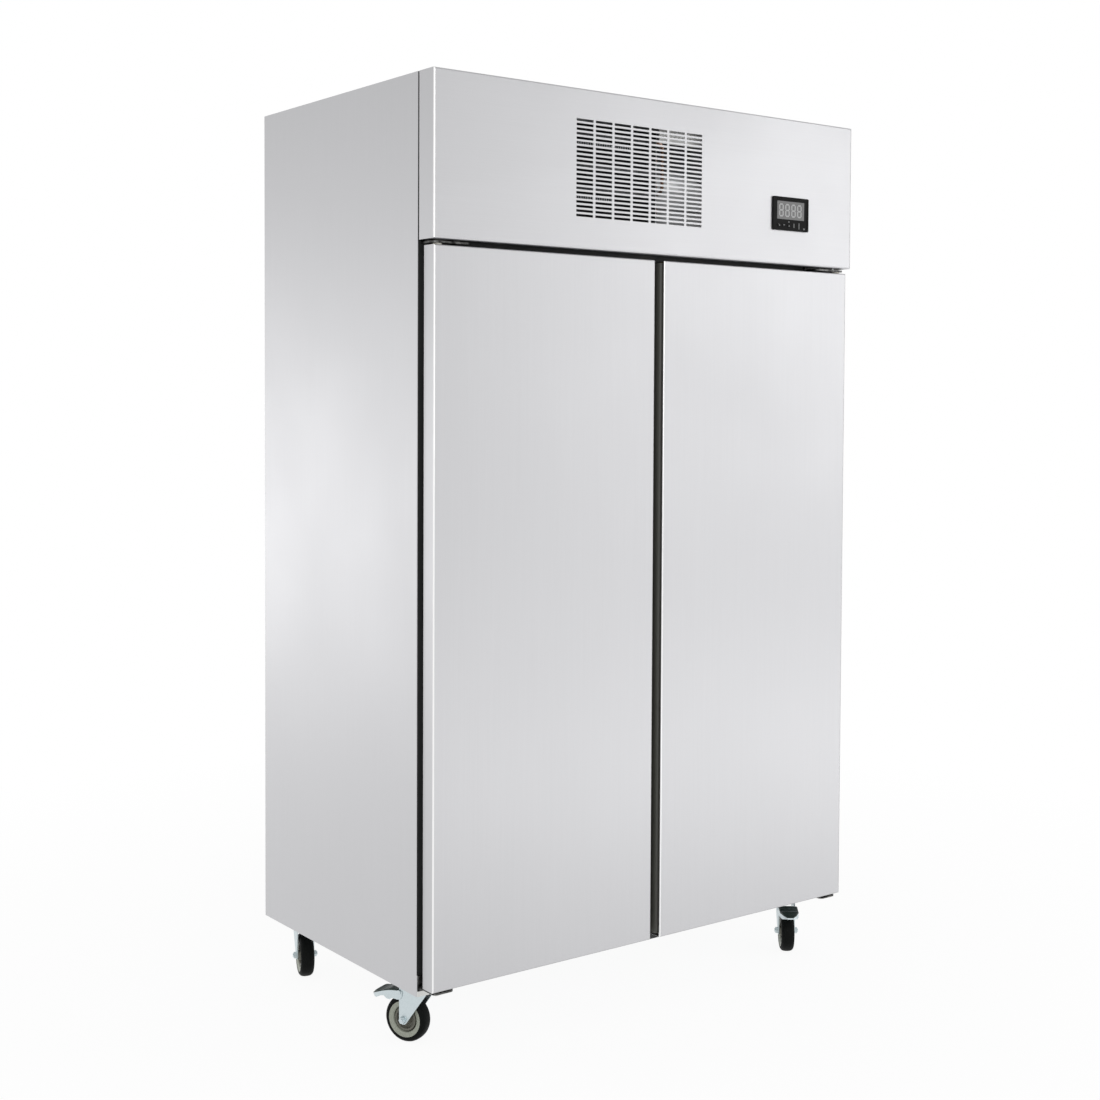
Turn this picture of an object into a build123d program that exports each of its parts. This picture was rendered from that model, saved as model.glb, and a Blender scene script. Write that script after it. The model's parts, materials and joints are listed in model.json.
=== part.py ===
# Upright two-door refrigerator on castors, with its refrigeration unit behind a header panel.
# Sizes are in millimetres. The origin is on the floor, under the middle of the box that
# encloses the whole object. +Z is up and the doors face -Y.
import os
from math import asin, atan2, cos, hypot, radians, sin

from build123d import *

os.makedirs("parts", exist_ok=True)

# Overall sizes
cabinet_width = 1200.0
cabinet_depth = 736.0  # header front face to the side panels' back edges
body_height = 1890.0
castor_height = 135.0
bezel_proud = 4.0  # the controller's rim in front of the header

# Sheet metal, seats and fits
sheet = 1.0
bend_radius = 2.5  # inside radius of a fold
seat_gap = 0.2  # between pieces that rest on each other
running_gap = 0.05  # radial, between a pin and its bore
swing_gap = 0.3  # between pieces that move past each other

# Cabinet walls
face_setback = 59.0  # header front face to the face that the gaskets close on
front_return = 5.0
back_return = 20.0
side_wall = 60.0
back_wall = 52.0
floor_wall = 58.0
ceiling_wall = 74.0
unit_bay_height = 310.0  # the deck's top to the cabinet's top
frame_thickness = 3.0
mullion_width = 84.0
mullion_depth = 60.0
liner_corner = 12.0

# Doors
door_setback = 8.5  # header front face to the doors' front
door_thickness = 37.5
door_bottom = 20.0  # above the underside of the cabinet
door_head_gap = 11.5  # between the doors' top and the header
door_inset = 6.5  # from the cabinet's side
door_gap = 26.0  # between the two doors
door_bend = 3.0  # outside radius of the skin's front folds
door_plug_depth = 22.0
door_plug_margin = 8.0  # between the plug and the opening
plug_taper = 12.0
grip_width = 18.0
grip_lip = 5.0
grip_groove = 9.0
grip_groove_depth = 13.0
grip_end_inset = 4.0
gasket_inset = 7.0
gasket_width = 24.0
gasket_round = 11.0

# Hinges
hinge_inset = 25.0  # from the cabinet's side
hinge_setback = 26.0  # behind the header front face
hinge_plate = 4.0
hinge_pin_radius = 5.0
hinge_pin_reach = 18.0  # inside the door
hinge_head_radius = 8.0
hinge_head_height = 2.4
bush_wall = 3.0
bush_flange_radius = 9.0
top_bracket_start = 8.0
top_bracket_length = 92.0
top_bracket_rise = 32.0
top_bracket_gap = 4.0  # door top to the bracket's plate
bottom_bracket_start = 14.0
bottom_bracket_length = 50.0
bottom_bracket_rise = 10.0  # of its flange above its plate
bottom_bracket_foot = 1.2  # its flange's lower edge above the underside of the cabinet
bottom_bracket_drop = 4.0  # door bottom to the top of the bracket's plate
riser_start = 1.0
riser_width = 8.0
riser_rise = 29.0  # above the bracket's plate
bracket_nose = 12.0  # from the pin's axis to the plate's front edge
bracket_round = 10.0
collar_height = 1.2

# Header
header_height = 339.0
header_depth = 54.5
header_bend = 3.5
header_top_return = 30.0
header_bottom_return = 20.0
grille_columns = 7
grille_rows = 22
slot_length = 45.4
slot_height = 5.4
slot_pitch_x = 51.8
slot_pitch_z = 9.6
grille_x = -63.5  # middle of the grille
grille_top_drop = 64.0  # header top to the grille's upper edge

# Controller
bezel_width = 116.0
bezel_height = 78.0
bezel_corner = 4.0
bezel_rim = 4.0
bezel_rim_height = 1.0
controller_inset = 207.0  # from the cabinet's right side
controller_drop = 221.5  # header top to the bezel's middle
controller_body_depth = 52.0
controller_body_margin = 5.0
window_width = 88.0
window_height = 42.0
window_rise = 8.0  # bezel's middle to the window's middle
window_thickness = 1.6
key_width = 10.0
key_height = 7.0
key_pitch = 16.6
key_drop = 27.0
key_first_x = -39.0  # from the bezel's middle
key_length = 5.0
key_stand = 0.7
key_names = ["set", "down", "up"]

# Panels
vent_columns = 6
vent_rows = 9
vent_length = 90.0
vent_height = 6.0
vent_pitch_x = 120.0
vent_pitch_z = 22.0
vent_drop = 165.0
panel_recess = 1.2

# Refrigeration unit
condenser_width = 320.0
condenser_height = 240.0
condenser_depth = 44.0
condenser_x = -129.0
condenser_setback = 62.0
condenser_rise = 14.0
tube_radius = 4.8
tube_clearance = 0.5
tube_passes = 8
tube_pitch = 28.0
shroud_depth = 60.0
shroud_window = 26.0
fan_ring_radius = 104.0
fan_ring_depth = 22.0
condenser_fan_radius = 98.0
fan_hub_radius = 24.0
fan_hub_length = 24.0
fan_hub_chamfer = 4.0
fan_shaft_radius = 3.0
blade_thickness = 1.6
blade_count = 5
blade_pitch = 28.0
motor_radius = 38.0
motor_length = 58.0
motor_bore = 16.0
strap_width = 26.0
strap_thickness = 3.0
compressor_x = 240.0
compressor_setback = 252.0
compressor_length = 85.0  # half lengths of the shell's oval
compressor_breadth = 70.0
compressor_corner = 66.0
compressor_height = 175.0
dome_rings = [(44.0, 0.0), (18.0, 12.0), (0.0, 44.0)]  # drop from the top, and inset, of the domed top's rings
seam_height = 6.0
seam_proud = 4.0
foot_height = 12.0
foot_radius = 11.0
foot_plate = 3.0
foot_spread_x = 150.0
foot_spread_y = 100.0
pipe_radius = 4.0
pipe_sides = 8
pipe_bend = 16.0
pipe_clearance = 34.0
tube_straight = 4.0
drier_radius = 9.0
drier_length = 60.0
box_width = 180.0
box_depth = 100.0
box_height = 130.0
box_inset = 205.0
box_setback = 76.0
strip_width = 126.0
strip_height = 88.0
strip_x = 68.5
strip_setback = 20.0
strip_thickness = 1.2
strip_hole_radius = 3.5
strip_hole_pitch = 11.6
strip_holes = 10
strip_hole_rows = 2
strip_foot = 14.0
box_lid_skirt = 13.0
inlet_inset = 130.0
inlet_rise = 70.0
inlet_width = 34.0
inlet_height = 26.0
inlet_flange_width = 60.0
inlet_flange_height = 36.0
inlet_flange = 1.0
inlet_corner = 3.0
inlet_wall = 2.0
inlet_body_depth = 30.0
inlet_recess = 18.0
inlet_blade_pitch = 8.5
inlet_blade_drop = 4.0
inlet_blade_width = 2.4
inlet_blade_height = 7.0
inlet_blade_setback = 4.0

# Evaporator
evaporator_width = 760.0
evaporator_height = 190.0
evaporator_depth = 270.0
coil_depth = 110.0
coil_margin = 20.0
coil_fin_pitch = 24.0
coil_fin_groove = 6.0
evaporator_fan_radius = 76.0
evaporator_fan_spread = 340.0
evaporator_opening_radius = 82.0
evaporator_motor_radius = 30.0
evaporator_motor_length = 44.0
guard_bar = 5.0

# Shelves
shelf_levels = 3
shelf_first = 300.0
shelf_headroom = 298.0  # the top shelf to the height of the evaporator's cover
shelf_end_gap = 13.4  # between a shelf's ends and the cell's front and back
shelf_bar = 8.0
shelf_bar_height = 10.0
shelf_wires = 13
shelf_wire_radius = 2.5
shelf_play = 1.5  # between a shelf and each of its runners
upright_width = 24.0
upright_depth = 10.0
upright_wall = 2.0
upright_margin = 60.0
runner_height = 18.0
runner_ledge = 16.0
runner_wall = 1.5

# Castors
castor_inset_x = {"front": 64.0, "rear": 74.0}
castor_inset_front = 138.0  # from the header front face
castor_inset_back = 50.0
wheel_radius = 50.0
wheel_width = 32.0
tyre_thickness = 11.0
tyre_shoulder = 5.0
trail = 35.0
axle_radius = 4.0
axle_head_radius = 7.5
axle_head_height = 6.0
axle_end = 2.0  # of the axle's end past its nut
fork_gap = 36.0
fork_leg = 2.5
fork_crown_radius = 27.0
fork_crown_thickness = 6.0
fork_nose = 25.0  # from the swivel axis to the legs' leading edge
fork_eye_radius = 10.0
castor_plate_length = 92.0
castor_plate_width = 68.0
castor_plate_thickness = 4.0
castor_bolt_spread_x = 70.0
castor_bolt_spread_y = 46.0
race_radius = 25.0
race_height = 7.0
king_pin_radius = 5.0
king_pin_head = 3.0
lever_pivot_x = 45.0
lever_pivot_z = 108.0
lever_pivot_radius = 3.0
lever_pivot_head = 1.2
lever_start = 37.0  # from the swivel axis
lever_shoulder = 97.0
lever_reach = 118.0
lever_nose_width = 14.0
lever_wall = 1.5
lever_eye_radius = 5.5
lever_start_z = 111.0
lever_middle = (80.0, 106.5)
lever_end_z = 90.5
lever_travel = 12.0  # degrees between the brake's two positions
lever_top_gap = 1.5  # between the fork's legs and the lever's top
brake_block_length = 18.0
brake_block_drop = 7.0
tread_start = 50.0
tread_thickness = 2.5
tread_overhang = 0.6
# Degrees from +X to the direction in which each castor trails
castor_trail_angles = {"front_left": 116.0, "front_right": 232.0, "rear_left": 250.7, "rear_right": 262.0}
# Degrees by which each brake lever is up from its pressed position
lever_angles = {"front_left": 0.0, "front_right": lever_travel}

# Places worked out from the sizes above
half_width = cabinet_width / 2
controller_x = half_width - controller_inset
box_x = half_width - box_inset
inlet_x = half_width - inlet_inset
back_y = (cabinet_depth + bezel_proud) / 2
header_y = back_y - cabinet_depth
face_y = header_y + face_setback
base_z = castor_height
top_z = base_z + body_height
floor_z = base_z + floor_wall
deck_z = top_z - unit_bay_height
ceiling_z = deck_z - ceiling_wall
opening_height = ceiling_z - floor_z
inner_x = half_width - side_wall
back_panel_y = back_y - panel_recess
core_back_y = back_panel_y - sheet - seat_gap
core_front_y = face_y + frame_thickness + seat_gap
liner_back_y = back_panel_y - back_wall
core_half_width = half_width - sheet - seat_gap
fold_radius = bend_radius + sheet
opening_middle_z = (floor_z + ceiling_z) / 2
core_middle_y = (core_front_y + core_back_y) / 2
core_depth = core_back_y - core_front_y


def save(piece, name):
    """Label a finished piece and write it as one STEP file."""
    piece.part.label = name
    export_step(piece.part, f"parts/{name}.step")


def save_mirrored(piece, name):
    """Write the mirror image of a left-hand piece."""
    with BuildPart() as twin:
        mirror(piece.part, about=Plane.YZ)
    save(twin, name)


def front_plane(y):
    """A plane that faces the front, with local x along +X and local y along +Z."""
    return Plane.XZ.offset(-y)


def core_plan(z, inset=0.0):
    """The rounded rectangle inside the side panels and the back panel."""
    with BuildSketch(Plane.XY.offset(z)) as plan:
        with Locations((0, core_middle_y)):
            RectangleRounded(2 * (core_half_width - inset), core_depth - 2 * inset, fold_radius + seat_gap)
    return plan.sketch


# Side panels: a sheet with a narrow front return and a wider back return
with BuildPart() as side_panel:
    with BuildSketch(Plane.XY.offset(base_z)):
        with BuildLine():
            side_fold = FilletPolyline(
                (-half_width + front_return, face_y),
                (-half_width, face_y),
                (-half_width, back_y),
                (-half_width + back_return, back_y),
                radius=fold_radius,
            )
            offset(side_fold, amount=sheet, side=Side.RIGHT)
        make_face()
    extrude(amount=body_height)
save(side_panel, "side_panel_left")
save_mirrored(side_panel, "side_panel_right")

# Back panel, with vent slots at the height of the refrigeration unit
back_panel_width = 2 * (half_width - fold_radius - seat_gap)
with BuildPart() as back_panel:
    with BuildSketch(front_plane(back_panel_y)):
        with Locations((0, base_z + body_height / 2)):
            Rectangle(back_panel_width, body_height)
        with Locations((0, top_z - vent_drop)):
            with GridLocations(vent_pitch_x, vent_pitch_z, vent_columns, vent_rows):
                Rectangle(vent_length, vent_height, mode=Mode.SUBTRACT)
        with Locations((inlet_x, deck_z + inlet_rise)):
            RectangleRounded(
                inlet_width + 2 * seat_gap, inlet_height + 2 * seat_gap, inlet_corner, mode=Mode.SUBTRACT
            )
    extrude(amount=sheet)
save(back_panel, "back_panel")

# Base panel and the deck that carries the refrigeration unit
with BuildPart() as base_panel:
    extrude(core_plan(base_z), amount=sheet)
save(base_panel, "base_panel")

with BuildPart() as deck_panel:
    extrude(core_plan(deck_z), amount=-sheet)
save(deck_panel, "deck_panel")

# Foam between the outer sheets and the liner
cavity_half_width = inner_x + sheet + seat_gap
cavity_back_y = liner_back_y + seat_gap
cavity_bottom = floor_z - sheet - seat_gap
cavity_top = ceiling_z + sheet + seat_gap
foam_bottom = base_z + sheet + seat_gap
foam_top = deck_z - sheet - seat_gap
with BuildPart() as insulation:
    extrude(core_plan(foam_bottom), amount=foam_top - foam_bottom)
    with BuildSketch(front_plane(core_front_y)):
        with Locations((0, (cavity_bottom + cavity_top) / 2)):
            Rectangle(2 * cavity_half_width, cavity_top - cavity_bottom)
    extrude(amount=-(cavity_back_y - core_front_y), mode=Mode.SUBTRACT)
save(insulation, "insulation")

# Liner: an open box with rounded vertical corners at the back
with BuildPart() as inner_liner:
    with BuildSketch(front_plane(core_front_y)):
        with Locations((0, opening_middle_z)):
            Rectangle(2 * (inner_x + sheet), opening_height + 2 * sheet)
    extrude(amount=-(liner_back_y - core_front_y))
    fillet(inner_liner.edges().filter_by(Axis.Z).group_by(Axis.Y)[-1], liner_corner)
    offset(amount=-sheet, openings=inner_liner.faces().sort_by(Axis.Y)[0])
save(inner_liner, "inner_liner")

# Front frame: the face that the gaskets close on, with the post between the doors
frame_half_width = half_width - front_return - seat_gap
with BuildPart() as front_frame:
    with BuildSketch(front_plane(face_y)):
        with Locations((0, (base_z + deck_z) / 2)):
            Rectangle(2 * frame_half_width, deck_z - base_z)
        clear_width = inner_x - mullion_width / 2
        for sign in (-1, 1):
            with Locations((sign * (inner_x + mullion_width / 2) / 2, opening_middle_z)):
                Rectangle(clear_width, opening_height, mode=Mode.SUBTRACT)
    extrude(amount=-frame_thickness)
    with BuildSketch(front_plane(face_y + frame_thickness)):
        with Locations((0, opening_middle_z)):
            Rectangle(mullion_width, opening_height - 2 * seat_gap)
    extrude(amount=-(mullion_depth - frame_thickness))
save(front_frame, "front_frame")

# Header panel: a folded front with a slotted grille and the controller's cut-out
header_bottom_z = top_z - header_height
grille_middle_z = top_z - grille_top_drop - (slot_pitch_z * (grille_rows - 1) + slot_height) / 2
controller_z = top_z - controller_drop
cutout_width = bezel_width - 2 * controller_body_margin
cutout_height = bezel_height - 2 * controller_body_margin
with BuildPart() as header_panel:
    with BuildSketch(front_plane(header_y)):
        with Locations((0, top_z - header_height / 2)):
            Rectangle(cabinet_width, header_height)
    extrude(amount=-header_depth)
    fillet(header_panel.faces().sort_by(Axis.Y)[0].edges(), header_bend)
    offset(amount=-sheet, openings=header_panel.faces().sort_by(Axis.Y)[-1])
    # The top and bottom folds are shorter than the side ones
    inner_width = cabinet_width - 2 * sheet
    for edge_z, length in ((top_z, header_top_return), (header_bottom_z, header_bottom_return)):
        with BuildSketch(front_plane(header_y + length)):
            with Locations((0, edge_z)):
                Rectangle(inner_width, 4 * sheet)
        extrude(amount=-header_depth, mode=Mode.SUBTRACT)
    with BuildSketch(front_plane(header_y)):
        with Locations((grille_x, grille_middle_z)):
            with GridLocations(slot_pitch_x, slot_pitch_z, grille_columns, grille_rows):
                Rectangle(slot_length, slot_height)
        with Locations((controller_x, controller_z)):
            Rectangle(cutout_width, cutout_height)
    extrude(amount=-2 * sheet, mode=Mode.SUBTRACT)
save(header_panel, "header_panel")

# Roof panel: a lid between the side panels, folded down at both ends and under the header's top
roof_z = top_z - panel_recess
roof_front_y = header_y + header_top_return / 3
roof_fold = 18.0
roof_side_y = face_y + fold_radius + seat_gap
with BuildPart() as roof_panel:
    with BuildSketch(front_plane(roof_side_y)):
        with BuildLine():
            roof_line = FilletPolyline(
                (-core_half_width, roof_z - roof_fold),
                (-core_half_width, roof_z),
                (core_half_width, roof_z),
                (core_half_width, roof_z - roof_fold),
                radius=fold_radius,
            )
            offset(roof_line, amount=sheet, side=Side.RIGHT)
        make_face()
    extrude(amount=-(core_back_y - fold_radius - roof_side_y))
    with BuildSketch(Plane.XY.offset(roof_z)):
        with Locations((0, (roof_front_y + roof_side_y) / 2)):
            Rectangle(2 * frame_half_width, roof_side_y - roof_front_y)
    extrude(amount=-sheet)
save(roof_panel, "roof_panel")

# Controller: a rimmed bezel with its body behind the header
bezel_front_y = header_y - bezel_proud
panel_front_y = bezel_front_y + bezel_rim_height
window_z = controller_z + window_rise
key_z = controller_z - key_drop
key_x = [controller_x + key_first_x + key_pitch * i for i in range(len(key_names))]
key_recess = key_length + 2 * swing_gap + sheet
with BuildPart() as controller_case:
    with BuildSketch(front_plane(bezel_front_y)):
        with Locations((controller_x, controller_z)):
            RectangleRounded(bezel_width, bezel_height, bezel_corner)
    extrude(amount=-(bezel_proud - seat_gap))
    with BuildSketch(front_plane(header_y - 2 * seat_gap)):
        with Locations((controller_x, controller_z)):
            Rectangle(cutout_width - 2 * seat_gap, cutout_height - 2 * seat_gap)
    extrude(amount=-controller_body_depth)
    with BuildSketch(front_plane(bezel_front_y)):
        with Locations((controller_x, controller_z)):
            Rectangle(bezel_width - 2 * bezel_rim, bezel_height - 2 * bezel_rim)
    extrude(amount=-bezel_rim_height, mode=Mode.SUBTRACT)
    with BuildSketch(front_plane(panel_front_y)):
        with Locations((controller_x, window_z)):
            Rectangle(window_width + 2 * seat_gap, window_height + 2 * seat_gap)
    extrude(amount=-(window_thickness + seat_gap), mode=Mode.SUBTRACT)
    with BuildSketch(front_plane(panel_front_y)):
        with Locations(*[(x, key_z) for x in key_x]):
            Rectangle(key_width + 2 * swing_gap, key_height + 2 * swing_gap)
    extrude(amount=-key_recess, mode=Mode.SUBTRACT)
save(controller_case, "controller_case")

with BuildPart() as display_window:
    with BuildSketch(front_plane(panel_front_y)):
        with Locations((controller_x, window_z)):
            Rectangle(window_width, window_height)
    extrude(amount=-window_thickness)
save(display_window, "display_window")

for name, x in zip(key_names, key_x):
    with BuildPart() as key:
        with BuildSketch(front_plane(panel_front_y - key_stand)):
            with Locations((x, key_z)):
                RectangleRounded(key_width, key_height, key_height / 5)
        extrude(amount=-(key_length + key_stand))
    save(key, f"key_{name}")


# Door pieces are made for the left door and mirrored for the right one
door_y = header_y + door_setback
door_back_y = door_y + door_thickness
door_z = base_z + door_bottom
door_top_z = top_z - header_height - door_head_gap
door_height = door_top_z - door_z
door_outer_x = -half_width + door_inset
door_inner_x = -door_gap / 2
door_width = door_inner_x - door_outer_x
door_middle_x = (door_outer_x + door_inner_x) / 2
door_middle_z = (door_z + door_top_z) / 2
hinge_x = -half_width + hinge_inset
hinge_y = header_y + hinge_setback
bush_radius = hinge_pin_radius + bush_wall
bush_depth = hinge_pin_reach + 2 * swing_gap

# Skin: a pan whose edge towards the middle is cut back for the grip
with BuildPart() as door_skin:
    with BuildSketch(front_plane(door_y)):
        with Locations((door_middle_x, door_middle_z)):
            Rectangle(door_width, door_height)
    extrude(amount=-door_thickness)
    fillet(door_skin.faces().sort_by(Axis.Y)[0].edges(), door_bend)
    offset(amount=-sheet, openings=door_skin.faces().sort_by(Axis.Y)[-1])
    with BuildSketch(front_plane(door_y + grip_lip - sheet)):
        with Locations((door_inner_x, door_middle_z)):
            Rectangle(4 * sheet, door_height - 2 * sheet)
    extrude(amount=-door_thickness, mode=Mode.SUBTRACT)
    with Locations((hinge_x, hinge_y, door_middle_z)):
        Cylinder(bush_radius + seat_gap, door_height + 2, mode=Mode.SUBTRACT)
save(door_skin, "door_left_skin")
save_mirrored(door_skin, "door_right_skin")

# Grip: a full-height profile with a finger groove behind its front lip
grip_front = sheet + door_bend
grip_back_x = door_inner_x - grip_width
with BuildPart() as door_grip:
    with BuildSketch(Plane.XY.offset(door_z + grip_end_inset)):
        with BuildLine():
            Polyline(
                (door_inner_x - door_bend, door_y + sheet + seat_gap),
                (grip_back_x, door_y + sheet + seat_gap),
                (grip_back_x, door_back_y),
                (door_inner_x, door_back_y),
                (door_inner_x, door_y + grip_lip + grip_groove + grip_groove_depth),
            )
            groove_floor_y = door_y + grip_lip + grip_groove
            ThreePointArc(
                (door_inner_x, door_y + grip_lip + grip_groove + grip_groove_depth),
                (
                    door_inner_x - grip_groove_depth * (1 - cos(radians(45))),
                    groove_floor_y + grip_groove_depth * (1 - sin(radians(45))),
                ),
                (door_inner_x - grip_groove_depth, groove_floor_y),
            )
            Polyline(
                (door_inner_x - grip_groove_depth, groove_floor_y),
                (door_inner_x - grip_groove_depth, door_y + grip_lip),
                (door_inner_x - sheet - seat_gap, door_y + grip_lip),
                (door_inner_x - sheet - seat_gap, door_y + grip_front),
                (door_inner_x - door_bend, door_y + sheet + seat_gap),
            )
        make_face()
    extrude(amount=door_height - 2 * grip_end_inset)
save(door_grip, "door_left_grip")
save_mirrored(door_grip, "door_right_grip")

# Inner pan: a flat rim under the gasket and a tapered plug that enters the opening
rim_outer_x = door_outer_x + sheet + seat_gap
rim_inner_x = grip_back_x - seat_gap
rim_width = rim_inner_x - rim_outer_x
rim_height = door_height - 2 * (sheet + seat_gap)
rim_middle_x = (rim_outer_x + rim_inner_x) / 2
plug_outer_x = -inner_x + door_plug_margin
plug_inner_x = -mullion_width / 2 - door_plug_margin
plug_width = plug_inner_x - plug_outer_x
plug_middle_x = (plug_outer_x + plug_inner_x) / 2
plug_height = opening_height - 2 * door_plug_margin
with BuildPart() as door_pan:
    with BuildSketch(front_plane(door_back_y - sheet)):
        with Locations((rim_middle_x, door_middle_z)):
            Rectangle(rim_width, rim_height)
    extrude(amount=-sheet)
    with BuildSketch(front_plane(door_back_y)):
        with Locations((plug_middle_x, opening_middle_z)):
            Rectangle(plug_width, plug_height)
    extrude(amount=-door_plug_depth, taper=plug_taper)
    with BuildSketch(front_plane(door_back_y - sheet)):
        with Locations((plug_middle_x, opening_middle_z)):
            Rectangle(plug_width - 2 * sheet, plug_height - 2 * sheet)
    extrude(amount=-door_plug_depth, taper=plug_taper, mode=Mode.SUBTRACT)
save(door_pan, "door_left_pan")
save_mirrored(door_pan, "door_right_pan")

# Foam core of the door, bored for the hinge bushes
core_gap = sheet + seat_gap
bore_length = 2 * (bush_depth + sheet)
with BuildPart() as door_core:
    with BuildSketch(front_plane(door_y + core_gap)):
        with Locations((rim_middle_x, door_middle_z)):
            Rectangle(rim_width, rim_height)
    extrude(amount=-(door_thickness - sheet - seat_gap - core_gap))
    chamfer(door_core.faces().sort_by(Axis.Y)[0].edges(), door_bend - sheet)
    for end_z in (door_z, door_top_z):
        with Locations((hinge_x, hinge_y, end_z)):
            Cylinder(bush_radius + seat_gap, bore_length, mode=Mode.SUBTRACT)
save(door_core, "door_left_insulation")
save_mirrored(door_core, "door_right_insulation")

# Gasket: a ring on the pan's rim, rounded where the door turns past the face
gasket_thickness = face_y - door_back_y - swing_gap
with BuildPart() as door_gasket:
    with BuildSketch(front_plane(door_back_y)):
        with Locations((door_middle_x, door_middle_z)):
            Rectangle(door_width - 2 * gasket_inset, door_height - 2 * gasket_inset)
            Rectangle(
                door_width - 2 * (gasket_inset + gasket_width),
                door_height - 2 * (gasket_inset + gasket_width),
                mode=Mode.SUBTRACT,
            )
    extrude(amount=-gasket_thickness)
    outer_edges = door_gasket.faces().sort_by(Axis.Y)[-1].outer_wire().edges()
    fillet(outer_edges, gasket_round)
save(door_gasket, "door_left_gasket")
save_mirrored(door_gasket, "door_right_gasket")

# Hinge bushes in the top and bottom of the door
top_plate_z = door_top_z + top_bracket_gap
bottom_plate_z = door_z - bottom_bracket_drop
collar_top_z = bottom_plate_z + collar_height
with BuildPart() as door_bushes:
    for start_z, end_z, flange_z, flange_end in (
        (door_top_z - bush_depth, door_top_z, door_top_z, top_plate_z - swing_gap),
        (door_z, door_z + bush_depth, collar_top_z + swing_gap, door_z),
    ):
        with BuildSketch(Plane.XY.offset(start_z)):
            with Locations((hinge_x, hinge_y)):
                Circle(bush_radius)
        extrude(amount=end_z - start_z)
        with BuildSketch(Plane.XY.offset(flange_z)):
            with Locations((hinge_x, hinge_y)):
                Circle(bush_flange_radius)
        extrude(amount=flange_end - flange_z)
    with Locations((hinge_x, hinge_y, door_middle_z)):
        Cylinder(hinge_pin_radius + running_gap, 2 * door_height, mode=Mode.SUBTRACT)
save(door_bushes, "door_left_bushes")
save_mirrored(door_bushes, "door_right_bushes")


# Hinge brackets: plates bolted to the front frame that carry the pins
def bracket_plate(z, start, length):
    """The horizontal plate of a bracket, rounded at its front corners."""
    with BuildSketch(Plane.XY.offset(z)) as plate:
        left_x = -half_width + start
        front_y = hinge_y - bracket_nose
        with BuildLine():
            FilletPolyline(
                (left_x, face_y - seat_gap),
                (left_x, front_y),
                (left_x + length, front_y),
                (left_x + length, face_y - seat_gap),
                radius=bracket_round,
            )
            Line((left_x + length, face_y - seat_gap), (left_x, face_y - seat_gap))
        make_face()
        with Locations((hinge_x, hinge_y)):
            Circle(hinge_pin_radius + running_gap, mode=Mode.SUBTRACT)
    return plate.sketch


def bracket_flange(start, width, bottom_z, height):
    """The upright part of a bracket, against the front frame."""
    with BuildSketch(front_plane(face_y - seat_gap)) as flange:
        with Locations((-half_width + start + width / 2, bottom_z + height / 2)):
            Rectangle(width, height)
    return flange.sketch


bottom_flange_z = bottom_plate_z - hinge_plate
bracket_foot_z = base_z + bottom_bracket_foot
with BuildPart() as hinge_brackets:
    extrude(bracket_plate(top_plate_z, top_bracket_start, top_bracket_length), amount=hinge_plate)
    extrude(
        bracket_flange(top_bracket_start, top_bracket_length, top_plate_z, top_bracket_rise),
        amount=hinge_plate,
    )
    extrude(
        bracket_plate(bottom_flange_z, bottom_bracket_start, bottom_bracket_length), amount=hinge_plate
    )
    for start, width, flange_end_z in (
        (bottom_bracket_start, bottom_bracket_length, bottom_plate_z + bottom_bracket_rise),
        (riser_start, riser_width, bottom_plate_z + riser_rise),
        (riser_start, bottom_bracket_start, bottom_plate_z),
    ):
        extrude(
            bracket_flange(start, width, bracket_foot_z, flange_end_z - bracket_foot_z), amount=hinge_plate
        )
    mirror(about=Plane.YZ)
save(hinge_brackets, "hinge_brackets")

# Hinge pins, each with a head, and a collar that carries the door at the bottom
with BuildPart() as hinge_pins:
    for head_z, head_step, pin_z, pin_end in (
        (top_plate_z + hinge_plate, hinge_head_height, top_plate_z + hinge_plate, door_top_z - hinge_pin_reach),
        (bottom_flange_z, -hinge_head_height, bottom_flange_z, door_z + hinge_pin_reach),
    ):
        with BuildSketch(Plane.XY.offset(head_z)):
            with Locations((hinge_x, hinge_y)):
                Circle(hinge_head_radius)
        extrude(amount=head_step)
        with BuildSketch(Plane.XY.offset(pin_z)):
            with Locations((hinge_x, hinge_y)):
                Circle(hinge_pin_radius)
        extrude(amount=pin_end - pin_z)
    with BuildSketch(Plane.XY.offset(bottom_plate_z)):
        with Locations((hinge_x, hinge_y)):
            Circle(bush_flange_radius)
    extrude(amount=collar_height)
    mirror(about=Plane.YZ)
save(hinge_pins, "hinge_pins")


# Condenser: a finned block with one serpentine tube
condenser_y = header_y + condenser_setback
condenser_z = deck_z + condenser_rise
condenser_middle_z = condenser_z + condenser_height / 2
tube_y = condenser_y + condenser_depth / 2
first_pass_z = condenser_middle_z - tube_pitch * (tube_passes - 1) / 2
with BuildPart() as condenser_fins:
    with BuildSketch(front_plane(condenser_y)):
        with Locations((condenser_x, condenser_middle_z)):
            Rectangle(condenser_width, condenser_height)
    extrude(amount=-condenser_depth)
    with BuildSketch(Plane.YZ.offset(condenser_x)):
        with Locations((tube_y, condenser_middle_z)):
            with GridLocations(tube_pitch, tube_pitch, 1, tube_passes):
                RegularPolygon(tube_radius + tube_clearance, pipe_sides)
    extrude(amount=condenser_width, both=True, mode=Mode.SUBTRACT)
save(condenser_fins, "condenser_fins")

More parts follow.
